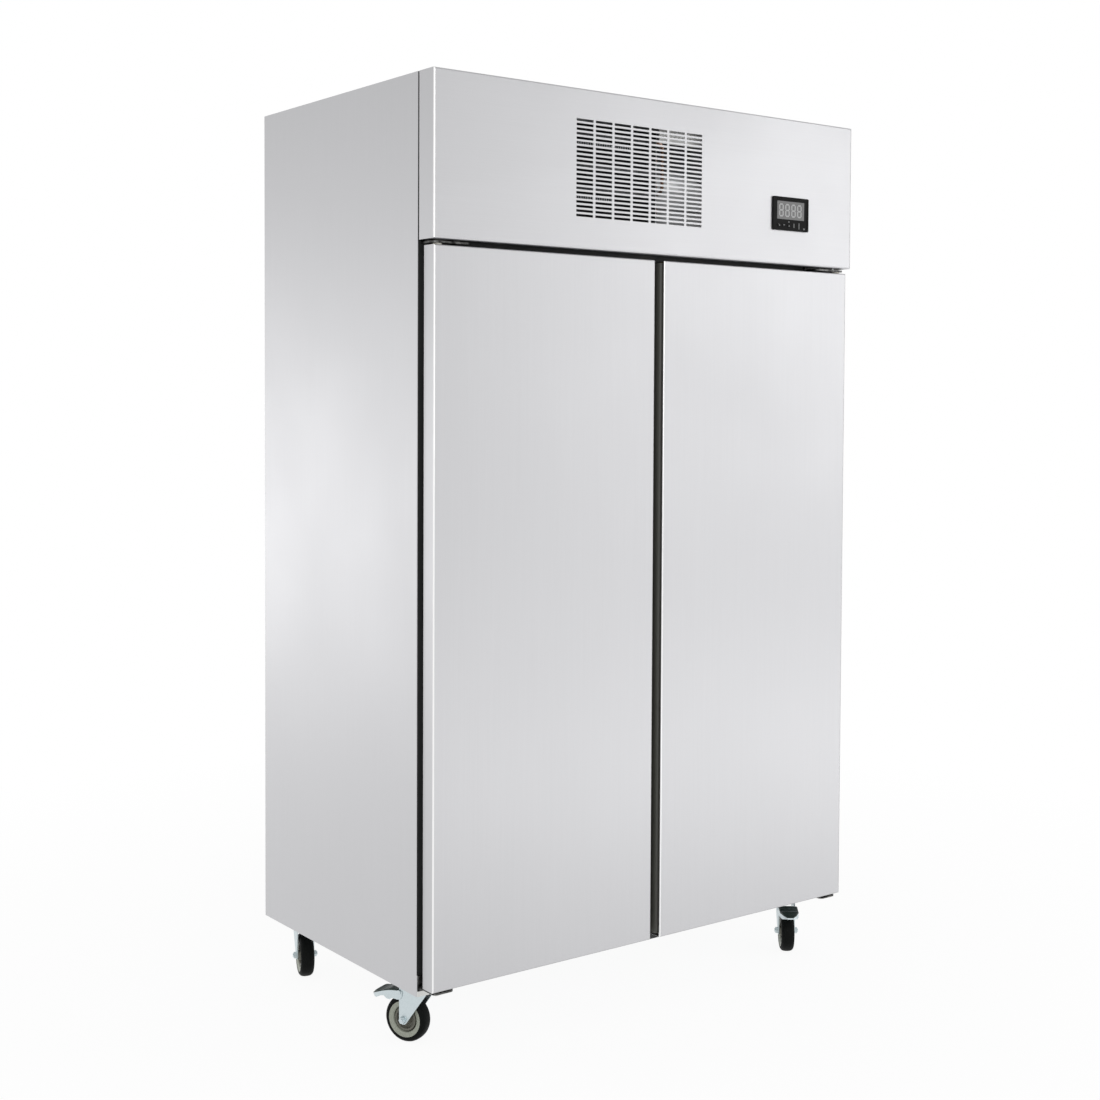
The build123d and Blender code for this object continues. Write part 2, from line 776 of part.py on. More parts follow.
# Shroud: end plates, a back plate with the fan's ring, and straps for the motor
shroud_wall = 1.5
shroud_y = condenser_y + condenser_depth + shroud_depth
shroud_half = condenser_width / 2 + seat_gap + shroud_wall
ring_end_y = shroud_y + fan_ring_depth
with BuildPart() as condenser_shroud:
    with BuildSketch(Plane.XY.offset(deck_z + seat_gap)):
        with Locations((condenser_x, (condenser_y + shroud_y) / 2)):
            Rectangle(2 * shroud_half, shroud_y - condenser_y)
            Rectangle(2 * (shroud_half - shroud_wall), shroud_y - condenser_y, mode=Mode.SUBTRACT)
        with Locations((condenser_x, shroud_y - shroud_wall / 2)):
            Rectangle(2 * shroud_half, shroud_wall)
    extrude(amount=condenser_rise + condenser_height)
    # A shelf under the finned block
    with BuildSketch(Plane.XY.offset(condenser_z - seat_gap)):
        with Locations((condenser_x, condenser_y + condenser_depth / 2)):
            Rectangle(2 * shroud_half, condenser_depth)
    extrude(amount=-shroud_wall)
    with BuildSketch(front_plane(shroud_y)):
        with Locations((condenser_x, condenser_middle_z)):
            Circle(fan_ring_radius + shroud_wall)
    extrude(amount=-fan_ring_depth)
    with BuildSketch(front_plane(ring_end_y)):
        with Locations((condenser_x, condenser_middle_z)):
            Circle(fan_ring_radius)
    extrude(amount=fan_ring_depth + 2 * shroud_wall, mode=Mode.SUBTRACT)
    with BuildSketch(front_plane(ring_end_y)):
        with Locations((condenser_x, condenser_middle_z)):
            Rectangle(strap_width, 2 * fan_ring_radius + shroud_wall)
            Circle(fan_hub_radius)
            Circle(fan_shaft_radius + swing_gap, mode=Mode.SUBTRACT)
    extrude(amount=-strap_thickness)
    # Windows for the tube's bends
    with BuildSketch(Plane.YZ.offset(condenser_x)):
        with Locations((tube_y, condenser_middle_z)):
            Rectangle(shroud_window, tube_pitch * tube_passes)
    extrude(amount=condenser_width, both=True, mode=Mode.SUBTRACT)
save(condenser_shroud, "condenser_shroud")


def fan_motor(x, y, z, radius, length):
    """A motor can with a bore in its front for the fan's shaft, its axis along Y."""
    with BuildPart() as can:
        with BuildSketch(front_plane(y)):
            with Locations((x, z)):
                Circle(radius)
        extrude(amount=-length)
        chamfer(can.faces().sort_by(Axis.Y)[-1].edges(), radius / 5)
        with BuildSketch(front_plane(y)):
            with Locations((x, z)):
                Circle(fan_shaft_radius + running_gap)
        extrude(amount=-motor_bore, mode=Mode.SUBTRACT)
    return can.part


def fan_wheel(x, y, z, radius, shaft_reach):
    """An axial fan about an axis along Y: the hub's back is at y and the shaft reaches behind it."""
    root = fan_hub_radius * 0.8
    chord = radius * 0.5
    with BuildPart() as wheel:
        with BuildSketch():
            Circle(fan_hub_radius)
        extrude(amount=fan_hub_length)
        chamfer(wheel.faces().sort_by(Axis.Z)[-1].edges(), fan_hub_chamfer)
        with BuildSketch():
            Circle(fan_shaft_radius)
        extrude(amount=-shaft_reach)
        for i in range(blade_count):
            turn = Location((0, 0, fan_hub_length / 2), (0, 0, 360 / blade_count * i))
            with BuildSketch(Plane(turn * Location((0, 0, 0), (blade_pitch, 0, 0)))):
                with BuildLine():
                    Polyline(
                        (radius * 0.88, -chord * 0.4),
                        (root, -chord * 0.3),
                        (root, chord * 0.3),
                        (radius * 0.7, chord * 0.6),
                    )
                    ThreePointArc(
                        (radius * 0.7, chord * 0.6), (radius * 0.96, chord * 0.2), (radius * 0.88, -chord * 0.4)
                    )
                make_face()
            extrude(amount=blade_thickness / 2, both=True)
    return Location((x, y, z), (90, 0, 0)) * wheel.part


motor_y = ring_end_y + strap_thickness + seat_gap
with BuildPart() as condenser_fan:
    add(
        fan_wheel(
            condenser_x,
            ring_end_y - swing_gap,
            condenser_middle_z,
            condenser_fan_radius,
            strap_thickness + motor_bore,
        )
    )
save(condenser_fan, "condenser_fan")

# Compressor: an oval welded shell on a foot plate with four feet
compressor_y = header_y + compressor_setback
shell_z = deck_z + foot_height + foot_plate
with BuildPart() as compressor:
    with BuildSketch(Plane.XY.offset(shell_z)):
        with Locations((compressor_x, compressor_y)):
            RectangleRounded(2 * compressor_length, 2 * compressor_breadth, compressor_corner)
    extrude(amount=compressor_height - dome_rings[0][0])
    for ring_pair in zip(dome_rings, dome_rings[1:]):
        for drop, inset in ring_pair:
            with BuildSketch(Plane.XY.offset(shell_z + compressor_height - drop)):
                with Locations((compressor_x, compressor_y)):
                    RectangleRounded(
                        2 * (compressor_length - inset),
                        2 * (compressor_breadth - inset),
                        compressor_corner - inset,
                    )
        loft(ruled=True)
    with BuildSketch(Plane.XY.offset(shell_z + compressor_height / 2)):
        with Locations((compressor_x, compressor_y)):
            RectangleRounded(
                2 * (compressor_length + seam_proud),
                2 * (compressor_breadth + seam_proud),
                compressor_corner + seam_proud,
            )
    extrude(amount=seam_height)
    with BuildSketch(Plane.XY.offset(shell_z)):
        with Locations((compressor_x, compressor_y)):
            RectangleRounded(foot_spread_x + 3 * foot_radius, foot_spread_y + 3 * foot_radius, foot_radius)
    extrude(amount=-foot_plate)
    with BuildSketch(Plane.XY.offset(shell_z - foot_plate)):
        with Locations((compressor_x, compressor_y)):
            with GridLocations(foot_spread_x, foot_spread_y, 2, 2):
                RegularPolygon(foot_radius, pipe_sides)
    extrude(amount=-(foot_height - seat_gap))
save(compressor, "compressor")

# Electrical box beside the compressor, and the perforated wiring strip behind the header
box_y = header_y + box_setback
strip_top_z = roof_z - sheet - seat_gap
strip_y = header_y + strip_setback
strip_hole_z = grille_middle_z + slot_pitch_z * (grille_rows - strip_hole_rows) / 2
with BuildPart() as electrical_box:
    with BuildSketch(Plane.XY.offset(deck_z + seat_gap)):
        with Locations((box_x, box_y + box_depth / 2)):
            RectangleRounded(box_width, box_depth, bend_radius)
    extrude(amount=box_height)
    with BuildSketch(Plane.XY.offset(deck_z + seat_gap + box_height)):
        with Locations((box_x, box_y + box_depth / 2)):
            RectangleRounded(box_width + 2 * sheet, box_depth + 2 * sheet, bend_radius)
    extrude(amount=-box_lid_skirt)
    with BuildSketch(front_plane(strip_y)):
        with Locations((strip_x, strip_top_z - strip_height / 2)):
            Rectangle(strip_width, strip_height)
        with Locations((strip_x, strip_hole_z)):
            with GridLocations(strip_hole_pitch, slot_pitch_z, strip_holes, strip_hole_rows):
                RegularPolygon(strip_hole_radius, pipe_sides, mode=Mode.SUBTRACT)
    extrude(amount=-strip_thickness)
    with BuildSketch(front_plane(strip_y + strip_thickness)):
        with Locations((strip_x, strip_top_z - strip_thickness / 2)):
            Rectangle(strip_width, strip_thickness)
    extrude(amount=-strip_foot)
save(electrical_box, "electrical_box")

# Appliance inlet: a flange on the back panel, a body inside, and three blades in a recess
inlet_z = deck_z + inlet_rise
with BuildPart() as mains_inlet:
    with BuildSketch(front_plane(back_panel_y)):
        with Locations((inlet_x, inlet_z)):
            RectangleRounded(inlet_flange_width, inlet_flange_height, inlet_corner)
    extrude(amount=-inlet_flange)
    with BuildSketch(front_plane(back_panel_y)):
        with Locations((inlet_x, inlet_z)):
            RectangleRounded(inlet_width, inlet_height, inlet_corner)
    extrude(amount=inlet_body_depth)
    with BuildSketch(front_plane(back_panel_y + inlet_flange)):
        with Locations((inlet_x, inlet_z)):
            RectangleRounded(inlet_width - 2 * inlet_wall, inlet_height - 2 * inlet_wall, inlet_corner)
    extrude(amount=inlet_recess, mode=Mode.SUBTRACT)
    with BuildSketch(front_plane(back_panel_y - inlet_recess)):
        with Locations((inlet_x, inlet_z)):
            with Locations((-inlet_blade_pitch, -inlet_blade_drop), (0, 0), (inlet_blade_pitch, -inlet_blade_drop)):
                Rectangle(inlet_blade_width, inlet_blade_height)
    extrude(amount=-(inlet_recess - inlet_blade_setback))
save(mains_inlet, "mains_inlet")


# Copper pipes: the condenser's serpentine, and the lines to and from the compressor
def serpentine(left_x, right_x, y, first_z):
    """Parallel passes along X joined by half-turn bends, with both ends at the right."""
    with BuildLine(front_plane(y)) as path:
        for i in range(tube_passes):
            z = first_z + tube_pitch * i
            start_x, end_x = (right_x, left_x) if i % 2 == 0 else (left_x, right_x)
            Line((start_x, z), (end_x, z))
            if i < tube_passes - 1:
                bulge = -tube_pitch / 2 if i % 2 == 0 else tube_pitch / 2
                ThreePointArc((end_x, z), (end_x + bulge, z + tube_pitch / 2), (end_x, z + tube_pitch))
    return path.wires()[0]


def tube(path, radius):
    """A round bar along a path."""
    with BuildPart() as bar:
        with BuildSketch(Plane(origin=path @ 0, z_dir=path % 0)):
            RegularPolygon(radius, pipe_sides)
        sweep(path=path)
    return bar.part


def bent_tube(points):
    """A pipe through the points, with a bend at each corner."""
    with BuildLine() as path:
        FilletPolyline(*points, radius=pipe_bend)
    return tube(path.wires()[0], pipe_radius)


pass_left_x = condenser_x - condenser_width / 2 - tube_straight
pass_right_x = condenser_x + condenser_width / 2 + tube_straight
last_pass_z = first_pass_z + tube_pitch * (tube_passes - 1)
line_x = pass_right_x + pipe_clearance
discharge_z = shell_z + compressor_height * 0.6
suction_z = shell_z + compressor_height * 0.4
suction_y = compressor_y + compressor_breadth + pipe_clearance
drier_y = tube_y + pipe_clearance
liquid_end_y = drier_y + drier_length + pipe_clearance
discharge_path = [
    (pass_right_x, tube_y, last_pass_z),
    (line_x, tube_y, last_pass_z),
    (line_x, tube_y, discharge_z),
    (line_x, compressor_y, discharge_z),
    (compressor_x - compressor_length - seat_gap, compressor_y, discharge_z),
]
liquid_path = [
    (pass_right_x, tube_y, first_pass_z),
    (line_x, tube_y, first_pass_z),
    (line_x, liquid_end_y, first_pass_z),
    (line_x, liquid_end_y, deck_z + seat_gap),
]
suction_path = [
    (compressor_x, compressor_y + compressor_breadth + seat_gap, suction_z),
    (compressor_x, suction_y, suction_z),
    (compressor_x, suction_y, deck_z + seat_gap),
]
with BuildPart() as refrigerant_pipes:
    add(tube(serpentine(pass_left_x, pass_right_x, tube_y, first_pass_z), tube_radius))
    add(bent_tube(discharge_path))
    add(bent_tube(liquid_path))
    add(bent_tube(suction_path))
    with BuildSketch(front_plane(drier_y)):
        with Locations((line_x, first_pass_z)):
            RegularPolygon(drier_radius, 2 * pipe_sides)
    extrude(amount=-drier_length)
save(refrigerant_pipes, "refrigerant_pipes")

# Evaporator cover: a folded sheet under the ceiling with two fan openings
evaporator_back_y = liner_back_y - sheet - seat_gap
evaporator_front_y = evaporator_back_y - evaporator_depth
evaporator_top_z = ceiling_z - seat_gap
evaporator_z = evaporator_top_z - evaporator_height
evaporator_fan_z = evaporator_z + evaporator_height / 2
guard_z = (evaporator_height - strap_width) / 2
fan_plate_y = evaporator_front_y + fan_hub_length + 4 * swing_gap + 8
with BuildPart() as evaporator_cover:
    with BuildSketch(Plane.XY.offset(evaporator_z)):
        with Locations((0, (evaporator_front_y + evaporator_back_y) / 2)):
            Rectangle(evaporator_width, evaporator_depth)
    extrude(amount=evaporator_height)
    offset(amount=-sheet, openings=evaporator_cover.faces().sort_by(Axis.Z)[-1])
    with BuildSketch(front_plane(evaporator_front_y)):
        with GridLocations(evaporator_fan_spread, 0, 2, 1):
            with Locations((0, evaporator_fan_z)):
                Circle(evaporator_opening_radius)
    extrude(amount=-2 * sheet, mode=Mode.SUBTRACT)
    # Guard bars across each opening, and the upright strap that holds each motor
    with BuildSketch(front_plane(evaporator_front_y)):
        with GridLocations(evaporator_fan_spread, 0, 2, 1):
            with Locations((0, evaporator_fan_z)):
                Circle(evaporator_opening_radius * 2 / 3)
                Circle(evaporator_opening_radius * 2 / 3 - guard_bar, mode=Mode.SUBTRACT)
                Rectangle(2 * evaporator_opening_radius + sheet, guard_bar)
                Rectangle(guard_bar, 2 * evaporator_opening_radius + sheet)
                Circle(evaporator_opening_radius / 3)
    extrude(amount=-sheet)
    with BuildSketch(front_plane(fan_plate_y)):
        with GridLocations(evaporator_fan_spread, 0, 2, 1):
            with Locations((0, evaporator_fan_z)):
                Rectangle(strap_width, evaporator_height - sheet)
                Circle(fan_shaft_radius + swing_gap, mode=Mode.SUBTRACT)
    extrude(amount=-strap_thickness)
save(evaporator_cover, "evaporator_cover")

# The three fans' motors
evaporator_motor_y = fan_plate_y + strap_thickness + seat_gap
with BuildPart() as fan_motors:
    add(fan_motor(condenser_x, motor_y, condenser_middle_z, motor_radius, motor_length))
    for sign in (-1, 1):
        add(
            fan_motor(
                sign * evaporator_fan_spread / 2,
                evaporator_motor_y,
                evaporator_fan_z,
                evaporator_motor_radius,
                evaporator_motor_length,
            )
        )
save(fan_motors, "fan_motors")

for side, sign in (("left", -1), ("right", 1)):
    with BuildPart() as evaporator_fan:
        add(
            fan_wheel(
                sign * evaporator_fan_spread / 2,
                fan_plate_y - swing_gap,
                evaporator_fan_z,
                evaporator_fan_radius,
                strap_thickness + motor_bore,
            )
        )
    save(evaporator_fan, f"evaporator_fan_{side}")

# Evaporator coil: a block with grooves between its fins
coil_width = evaporator_width - 2 * (sheet + coil_margin)
coil_height = evaporator_height - 2 * sheet - coil_margin
coil_y = evaporator_back_y - sheet - seat_gap - coil_depth
groove_count = int((coil_width - coil_fin_pitch) / coil_fin_pitch)
with BuildPart() as evaporator_coil:
    with BuildSketch(Plane.XY.offset(evaporator_z + sheet + seat_gap)):
        with Locations((0, coil_y + coil_depth / 2)):
            Rectangle(coil_width, coil_depth)
        with Locations((0, coil_y)):
            with GridLocations(coil_fin_pitch, coil_depth, groove_count, 1):
                Rectangle(coil_fin_groove, coil_depth / 2, mode=Mode.SUBTRACT)
    extrude(amount=coil_height)
save(evaporator_coil, "evaporator_coil")

# Uprights on the side walls, behind the mullion and on the back wall, with runners between them
wall_offset = seat_gap + upright_depth / 2
cell_front_y = face_y + mullion_depth
cell_back_y = liner_back_y - sheet
cell_middle_y = (cell_front_y + cell_back_y) / 2
runner_length = cell_back_y - cell_front_y - 2 * seat_gap
shelf_depth = cell_back_y - cell_front_y - 2 * shelf_end_gap
shelf_pitch = (opening_height - evaporator_height - shelf_first - shelf_headroom) / (shelf_levels - 1)
shelf_z = [floor_z + shelf_first + shelf_pitch * i for i in range(shelf_levels)]
upright_bottom = floor_z + upright_margin
upright_length = shelf_z[-1] + upright_margin - upright_bottom
outer_runner_x = inner_x - upright_depth - 2 * seat_gap
inner_runner_x = upright_width / 2 + seat_gap
shelf_outer_x = outer_runner_x - runner_wall - shelf_play
shelf_inner_x = inner_runner_x + runner_wall + shelf_play
shelf_width = shelf_outer_x - shelf_inner_x


def upright_section(x, y, angle):
    """A U-shaped upright whose open side faces its wall."""
    with BuildSketch(Plane.XY.offset(upright_bottom)) as section:
        with Locations(Location((x, y, 0), (0, 0, angle))):
            Rectangle(upright_width, upright_depth)
            with Locations((0, -upright_wall)):
                Rectangle(upright_width - 2 * upright_wall, upright_depth, mode=Mode.SUBTRACT)
    return section.sketch


def runner_section(x, z, inward):
    """An L-shaped runner: its web at x, its ledge under the shelf on the inward side."""
    with BuildSketch(front_plane(cell_middle_y)) as section:
        with Locations((x + inward * runner_wall / 2, z + runner_height / 2 - runner_wall - seat_gap)):
            Rectangle(runner_wall, runner_height)
        with Locations((x + inward * runner_ledge / 2, z - runner_wall / 2 - seat_gap)):
            Rectangle(runner_ledge, runner_wall)
    return section.sketch


with BuildPart() as shelf_supports:
    for sign in (-1, 1):
        for y in (cell_front_y + upright_margin, cell_back_y - upright_margin):
            extrude(upright_section(sign * (inner_x - wall_offset), y, 90 * sign), amount=upright_length)
        for z in shelf_z:
            extrude(runner_section(sign * outer_runner_x, z, -sign), amount=runner_length / 2, both=True)
            extrude(runner_section(sign * inner_runner_x, z, sign), amount=runner_length / 2, both=True)
    extrude(upright_section(0, cell_front_y + wall_offset, 0), amount=upright_length)
    extrude(upright_section(0, cell_back_y - wall_offset, 180), amount=upright_length)
save(shelf_supports, "shelf_supports")

# One shelf: a flat-bar frame with wires from front to back
with BuildPart() as shelf:
    with BuildSketch():
        Rectangle(shelf_width, shelf_depth)
        Rectangle(shelf_width - 2 * shelf_bar, shelf_depth - 2 * shelf_bar, mode=Mode.SUBTRACT)
    extrude(amount=shelf_bar_height)
    with BuildSketch(Plane.XZ):
        with Locations((0, shelf_bar_height - shelf_wire_radius)):
            with GridLocations((shelf_width - 2 * shelf_bar) / (shelf_wires + 1), 0, shelf_wires, 1):
                RegularPolygon(shelf_wire_radius, 6)
    extrude(amount=shelf_depth / 2 - shelf_bar / 2, both=True)

with BuildPart() as shelves:
    for sign in (-1, 1):
        for z in shelf_z:
            with Locations((sign * (shelf_inner_x + shelf_outer_x) / 2, cell_middle_y, z)):
                add(shelf.part)
save(shelves, "shelves")

# Castor top plates, each with the upper race and the king pin
castor_places = {}
for name, angle in castor_trail_angles.items():
    end, side = name.split("_")
    x = (half_width - castor_inset_x[end]) * (1 if side == "right" else -1)
    y = header_y + castor_inset_front if end == "front" else back_y - castor_inset_back
    castor_places[name] = Location((x, y, 0), (0, 0, angle))

plate_z = base_z - castor_plate_thickness
race_z = plate_z - race_height
crown_top_z = race_z - swing_gap
crown_z = crown_top_z - fork_crown_thickness
pin_head_top = crown_z - swing_gap
bolt_head = 3.0
bolt_radius = 6.0
with BuildPart() as castor_plates:
    for place in castor_places.values():
        spot = place.position
        with BuildSketch(Plane.XY.offset(plate_z)):
            with Locations((spot.X, spot.Y)):
                Rectangle(castor_plate_width, castor_plate_length)
        extrude(amount=castor_plate_thickness)
        with BuildSketch(Plane.XY.offset(plate_z)):
            with Locations((spot.X, spot.Y)):
                with GridLocations(castor_bolt_spread_y, castor_bolt_spread_x, 2, 2):
                    RegularPolygon(bolt_radius, 6)
        extrude(amount=-bolt_head)
        with BuildSketch(Plane.XY.offset(plate_z)):
            with Locations((spot.X, spot.Y)):
                Circle(race_radius)
        extrude(amount=-race_height)
        with BuildSketch(Plane.XY.offset(race_z)):
            with Locations((spot.X, spot.Y)):
                Circle(king_pin_radius)
        extrude(amount=-(race_z - pin_head_top + king_pin_head))
        with BuildSketch(Plane.XY.offset(pin_head_top)):
            with Locations((spot.X, spot.Y)):
                Circle(2 * king_pin_radius)
        extrude(amount=-king_pin_head)
save(castor_plates, "castor_plates")

# Castor pieces are made about the swivel axis, trailing along +X, and placed four times
leg_lean = atan2(crown_z - wheel_radius, trail + fork_nose)
leg_lean += asin(fork_eye_radius / hypot(crown_z - wheel_radius, trail + fork_nose))
eye_turn = (radians(90) + leg_lean) / 2
eye_middle = (trail + fork_eye_radius * cos(eye_turn), wheel_radius - fork_eye_radius * sin(eye_turn))
eye_end = (trail - fork_eye_radius * sin(leg_lean), wheel_radius - fork_eye_radius * cos(leg_lean))
crown_length = fork_nose + trail + fork_eye_radius
with BuildPart() as fork_shape:
    with BuildSketch(Plane.XY.offset(crown_z)):
        Circle(fork_crown_radius)
    extrude(amount=fork_crown_thickness)
    for sign in (-1, 1):
        with BuildSketch(front_plane(sign * (fork_gap + fork_leg) / 2)):
            with BuildLine():
                Polyline(
                    eye_end,
                    (-fork_nose, crown_z),
                    (-fork_nose, crown_top_z),
                    (trail + fork_eye_radius, crown_top_z),
                    (trail + fork_eye_radius, wheel_radius),
                )
                ThreePointArc((trail + fork_eye_radius, wheel_radius), eye_middle, eye_end)
            make_face()
        extrude(amount=fork_leg / 2, both=True)
    # The crown carries the legs out to their full width
    with BuildSketch(Plane.XY.offset(crown_z)):
        with Locations((crown_length / 2 - fork_nose, 0)):
            Rectangle(crown_length, fork_gap + 2 * fork_leg)
    extrude(amount=fork_crown_thickness)
    with Locations((0, 0, crown_z)):
        Cylinder(king_pin_radius + running_gap, 4 * fork_crown_thickness, mode=Mode.SUBTRACT)
    with Locations((trail, 0, wheel_radius)):
        Cylinder(axle_radius + running_gap, 2 * fork_gap, rotation=(90, 0, 0), mode=Mode.SUBTRACT)

axle_half = fork_gap / 2 + fork_leg
axle_length = 2 * (axle_half + seat_gap + axle_head_height + axle_end)
with BuildPart() as axle_shape:
    with Locations((trail, 0, wheel_radius)):
        Cylinder(axle_radius, axle_length, rotation=(90, 0, 0))
    for sign in (-1, 1):
        with BuildSketch(front_plane(sign * (axle_half + seat_gap))):
            with Locations((trail, wheel_radius)):
                RegularPolygon(axle_head_radius, 6)
        extrude(amount=-sign * axle_head_height)

hub_radius = wheel_radius - tyre_thickness
hub_half = wheel_width / 2
boss_half = fork_gap / 2 - swing_gap
boss_radius = 11.0
web_half = 8.0
web_radius = 27.0
with BuildPart() as hub_shape:
    with BuildSketch(Plane.XZ):
        with BuildLine():
            half = [
                (axle_radius + running_gap, boss_half),
                (boss_radius, boss_half),
                (boss_radius + 2, web_half),
                (web_radius, web_half),
                (hub_radius, hub_half - 1),
            ]
            Polyline(*half, *[(r, -z) for r, z in reversed(half)], close=True)
        make_face()
    revolve(axis=Axis.Z)

with BuildPart() as tyre_shape:
    with BuildSketch(Plane.XZ):
        with BuildLine():
            upper = [
                (hub_radius + seat_gap, hub_half),
                (wheel_radius - tyre_shoulder, hub_half),
                (wheel_radius, hub_half - tyre_shoulder),
            ]
            Polyline(*upper, *[(r, -z) for r, z in reversed(upper)], close=True)
        make_face()
    revolve(axis=Axis.Z)

wheel_place = Location((trail, 0, wheel_radius), (90, 0, 0))

# Brake lever, in its pressed position: a pressed-steel cap whose sides reach back outside the legs
lever_inner = axle_half + swing_gap
lever_half = lever_inner + lever_wall
lever_lip = [
    (lever_reach, 88.0),
    (104.0, 87.0),
    (91.0, 94.0),
    (83.0, 95.5),
    (76.0, 90.5),
    (68.0, 89.0),
    (61.0, 93.5),
    (50.0, 92.0),
    (42.0, 93.0),
    (lever_start, 101.0),
]


def lever_arc(rise):
    """The curve of the lever's top, raised by the given amount."""
    middle_x, middle_z = lever_middle
    return ThreePointArc(
        (lever_start, lever_start_z + rise), (middle_x, middle_z + rise), (lever_reach, lever_end_z + rise)
    )


def lever_plan(start, grow):
    """The lever's outline from above, between the given start and its rounded nose."""
    with BuildSketch(Plane.XY.offset(lever_pivot_z + lever_reach)) as plan:
        with BuildLine():
            side = [
                (start, lever_half + grow),
                (lever_shoulder, lever_half + grow),
                ((lever_shoulder + lever_reach) / 2 + 2, (lever_half + lever_nose_width / 2) / 2 + 1 + grow),
                (lever_reach + grow, lever_nose_width / 2),
            ]
            Polyline(*side, *[(x, -y) for x, y in reversed(side)], close=True)
        make_face()
    return plan.sketch


with BuildPart() as lever_cavity:
    with BuildSketch(front_plane(0)):
        with BuildLine():
            lever_arc(-lever_wall)
            Polyline(
                (lever_start, lever_start_z - lever_wall),
                (lever_start, wheel_radius),
                (lever_reach, wheel_radius),
                (lever_reach, lever_end_z - lever_wall),
            )
        make_face()
    extrude(amount=lever_inner, both=True)
    extrude(lever_plan(lever_start, -lever_wall), amount=-2 * lever_reach, mode=Mode.INTERSECT)

with BuildPart() as lever_shape:
    with BuildSketch(front_plane(0)):
        with BuildLine():
            lever_arc(0)
            Polyline((lever_reach, lever_end_z), *lever_lip, (lever_start, lever_start_z))
        make_face()
    extrude(amount=lever_half, both=True)
    extrude(lever_plan(lever_start, 0), amount=-2 * lever_reach, mode=Mode.INTERSECT)
    add(lever_cavity.part, mode=Mode.SUBTRACT)
    # The top ends before the legs
    with Locations((trail + fork_eye_radius + lever_top_gap, 0, lever_pivot_z)):
        Box(
            lever_pivot_x,
            2 * lever_inner,
            lever_pivot_x,
            align=(Align.MAX, Align.CENTER, Align.CENTER),
            mode=Mode.SUBTRACT,
        )
    # The brake block between the legs, over the tyre
    with BuildSketch(front_plane(0)):
        with Locations((lever_pivot_x, lever_pivot_z)):
            Circle(lever_eye_radius)
        with BuildLine():
            Polyline(
                (lever_pivot_x, lever_pivot_z + lever_pivot_radius),
                (lever_pivot_x + brake_block_length, lever_pivot_z + lever_wall),
                (lever_pivot_x + brake_block_length, lever_pivot_z - brake_block_drop / 2),
                (lever_pivot_x + lever_eye_radius, lever_pivot_z - brake_block_drop),
                (lever_pivot_x, lever_pivot_z - lever_pivot_radius),
                close=True,
            )
        make_face()
    extrude(amount=fork_gap / 2 - 2, both=True)
    with Locations((lever_pivot_x, 0, lever_pivot_z)):
        Cylinder(lever_pivot_radius + running_gap, 4 * lever_half, rotation=(90, 0, 0), mode=Mode.SUBTRACT)

with BuildPart() as tread_shape:
    with BuildSketch(front_plane(0)):
        with BuildLine():
            lever_arc(seat_gap)
            lever_arc(seat_gap + tread_thickness)
            for x, z in ((lever_start, lever_start_z + seat_gap), (lever_reach, lever_end_z + seat_gap)):
                Line((x, z), (x, z + tread_thickness))
        make_face()
    extrude(amount=2 * lever_half, both=True)
    extrude(lever_plan(tread_start, tread_overhang), amount=-2 * lever_reach, mode=Mode.INTERSECT)

# The lever's pivot pin, with a head outside each side of the lever
with BuildPart() as lever_pin_shape:
    with Locations((lever_pivot_x, 0, lever_pivot_z)):
        Cylinder(lever_pivot_radius, 2 * (lever_half + swing_gap + lever_pivot_head), rotation=(90, 0, 0))
    for sign in (-1, 1):
        with BuildSketch(front_plane(sign * (lever_half + swing_gap))):
            with Locations((lever_pivot_x, lever_pivot_z)):
                Circle(lever_pivot_radius * 1.6)
        extrude(amount=-sign * lever_pivot_head)

for name, place in castor_places.items():
    with BuildPart() as castor_fork:
        with Locations(place):
            add(fork_shape.part)
            add(axle_shape.part)
            if name in lever_angles:
                add(lever_pin_shape.part)
    save(castor_fork, f"castor_{name}_fork")
    with BuildPart() as castor_hub:
        with Locations(place * wheel_place):
            add(hub_shape.part)
    save(castor_hub, f"castor_{name}_hub")
    with BuildPart() as castor_tyre:
        with Locations(place * wheel_place):
            add(tyre_shape.part)
    save(castor_tyre, f"castor_{name}_tyre")

pivot_place = Location((lever_pivot_x, 0, lever_pivot_z))
for name, angle in lever_angles.items():
    lever_place = castor_places[name] * pivot_place * Location((0, 0, 0), (0, -angle, 0)) * pivot_place.inverse()
    with BuildPart() as castor_lever:
        with Locations(lever_place):
            add(lever_shape.part)
    save(castor_lever, f"castor_{name}_lever")
    with BuildPart() as castor_tread:
        with Locations(lever_place):
            add(tread_shape.part)
    save(castor_tread, f"castor_{name}_tread")
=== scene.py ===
# Dresses an upright two-door refrigerator on castors for a studio picture.
# Metres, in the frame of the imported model: the doors face -Y and the floor is at z = 0.
import json
import math

import bmesh
import bpy
from mathutils import Matrix, Vector


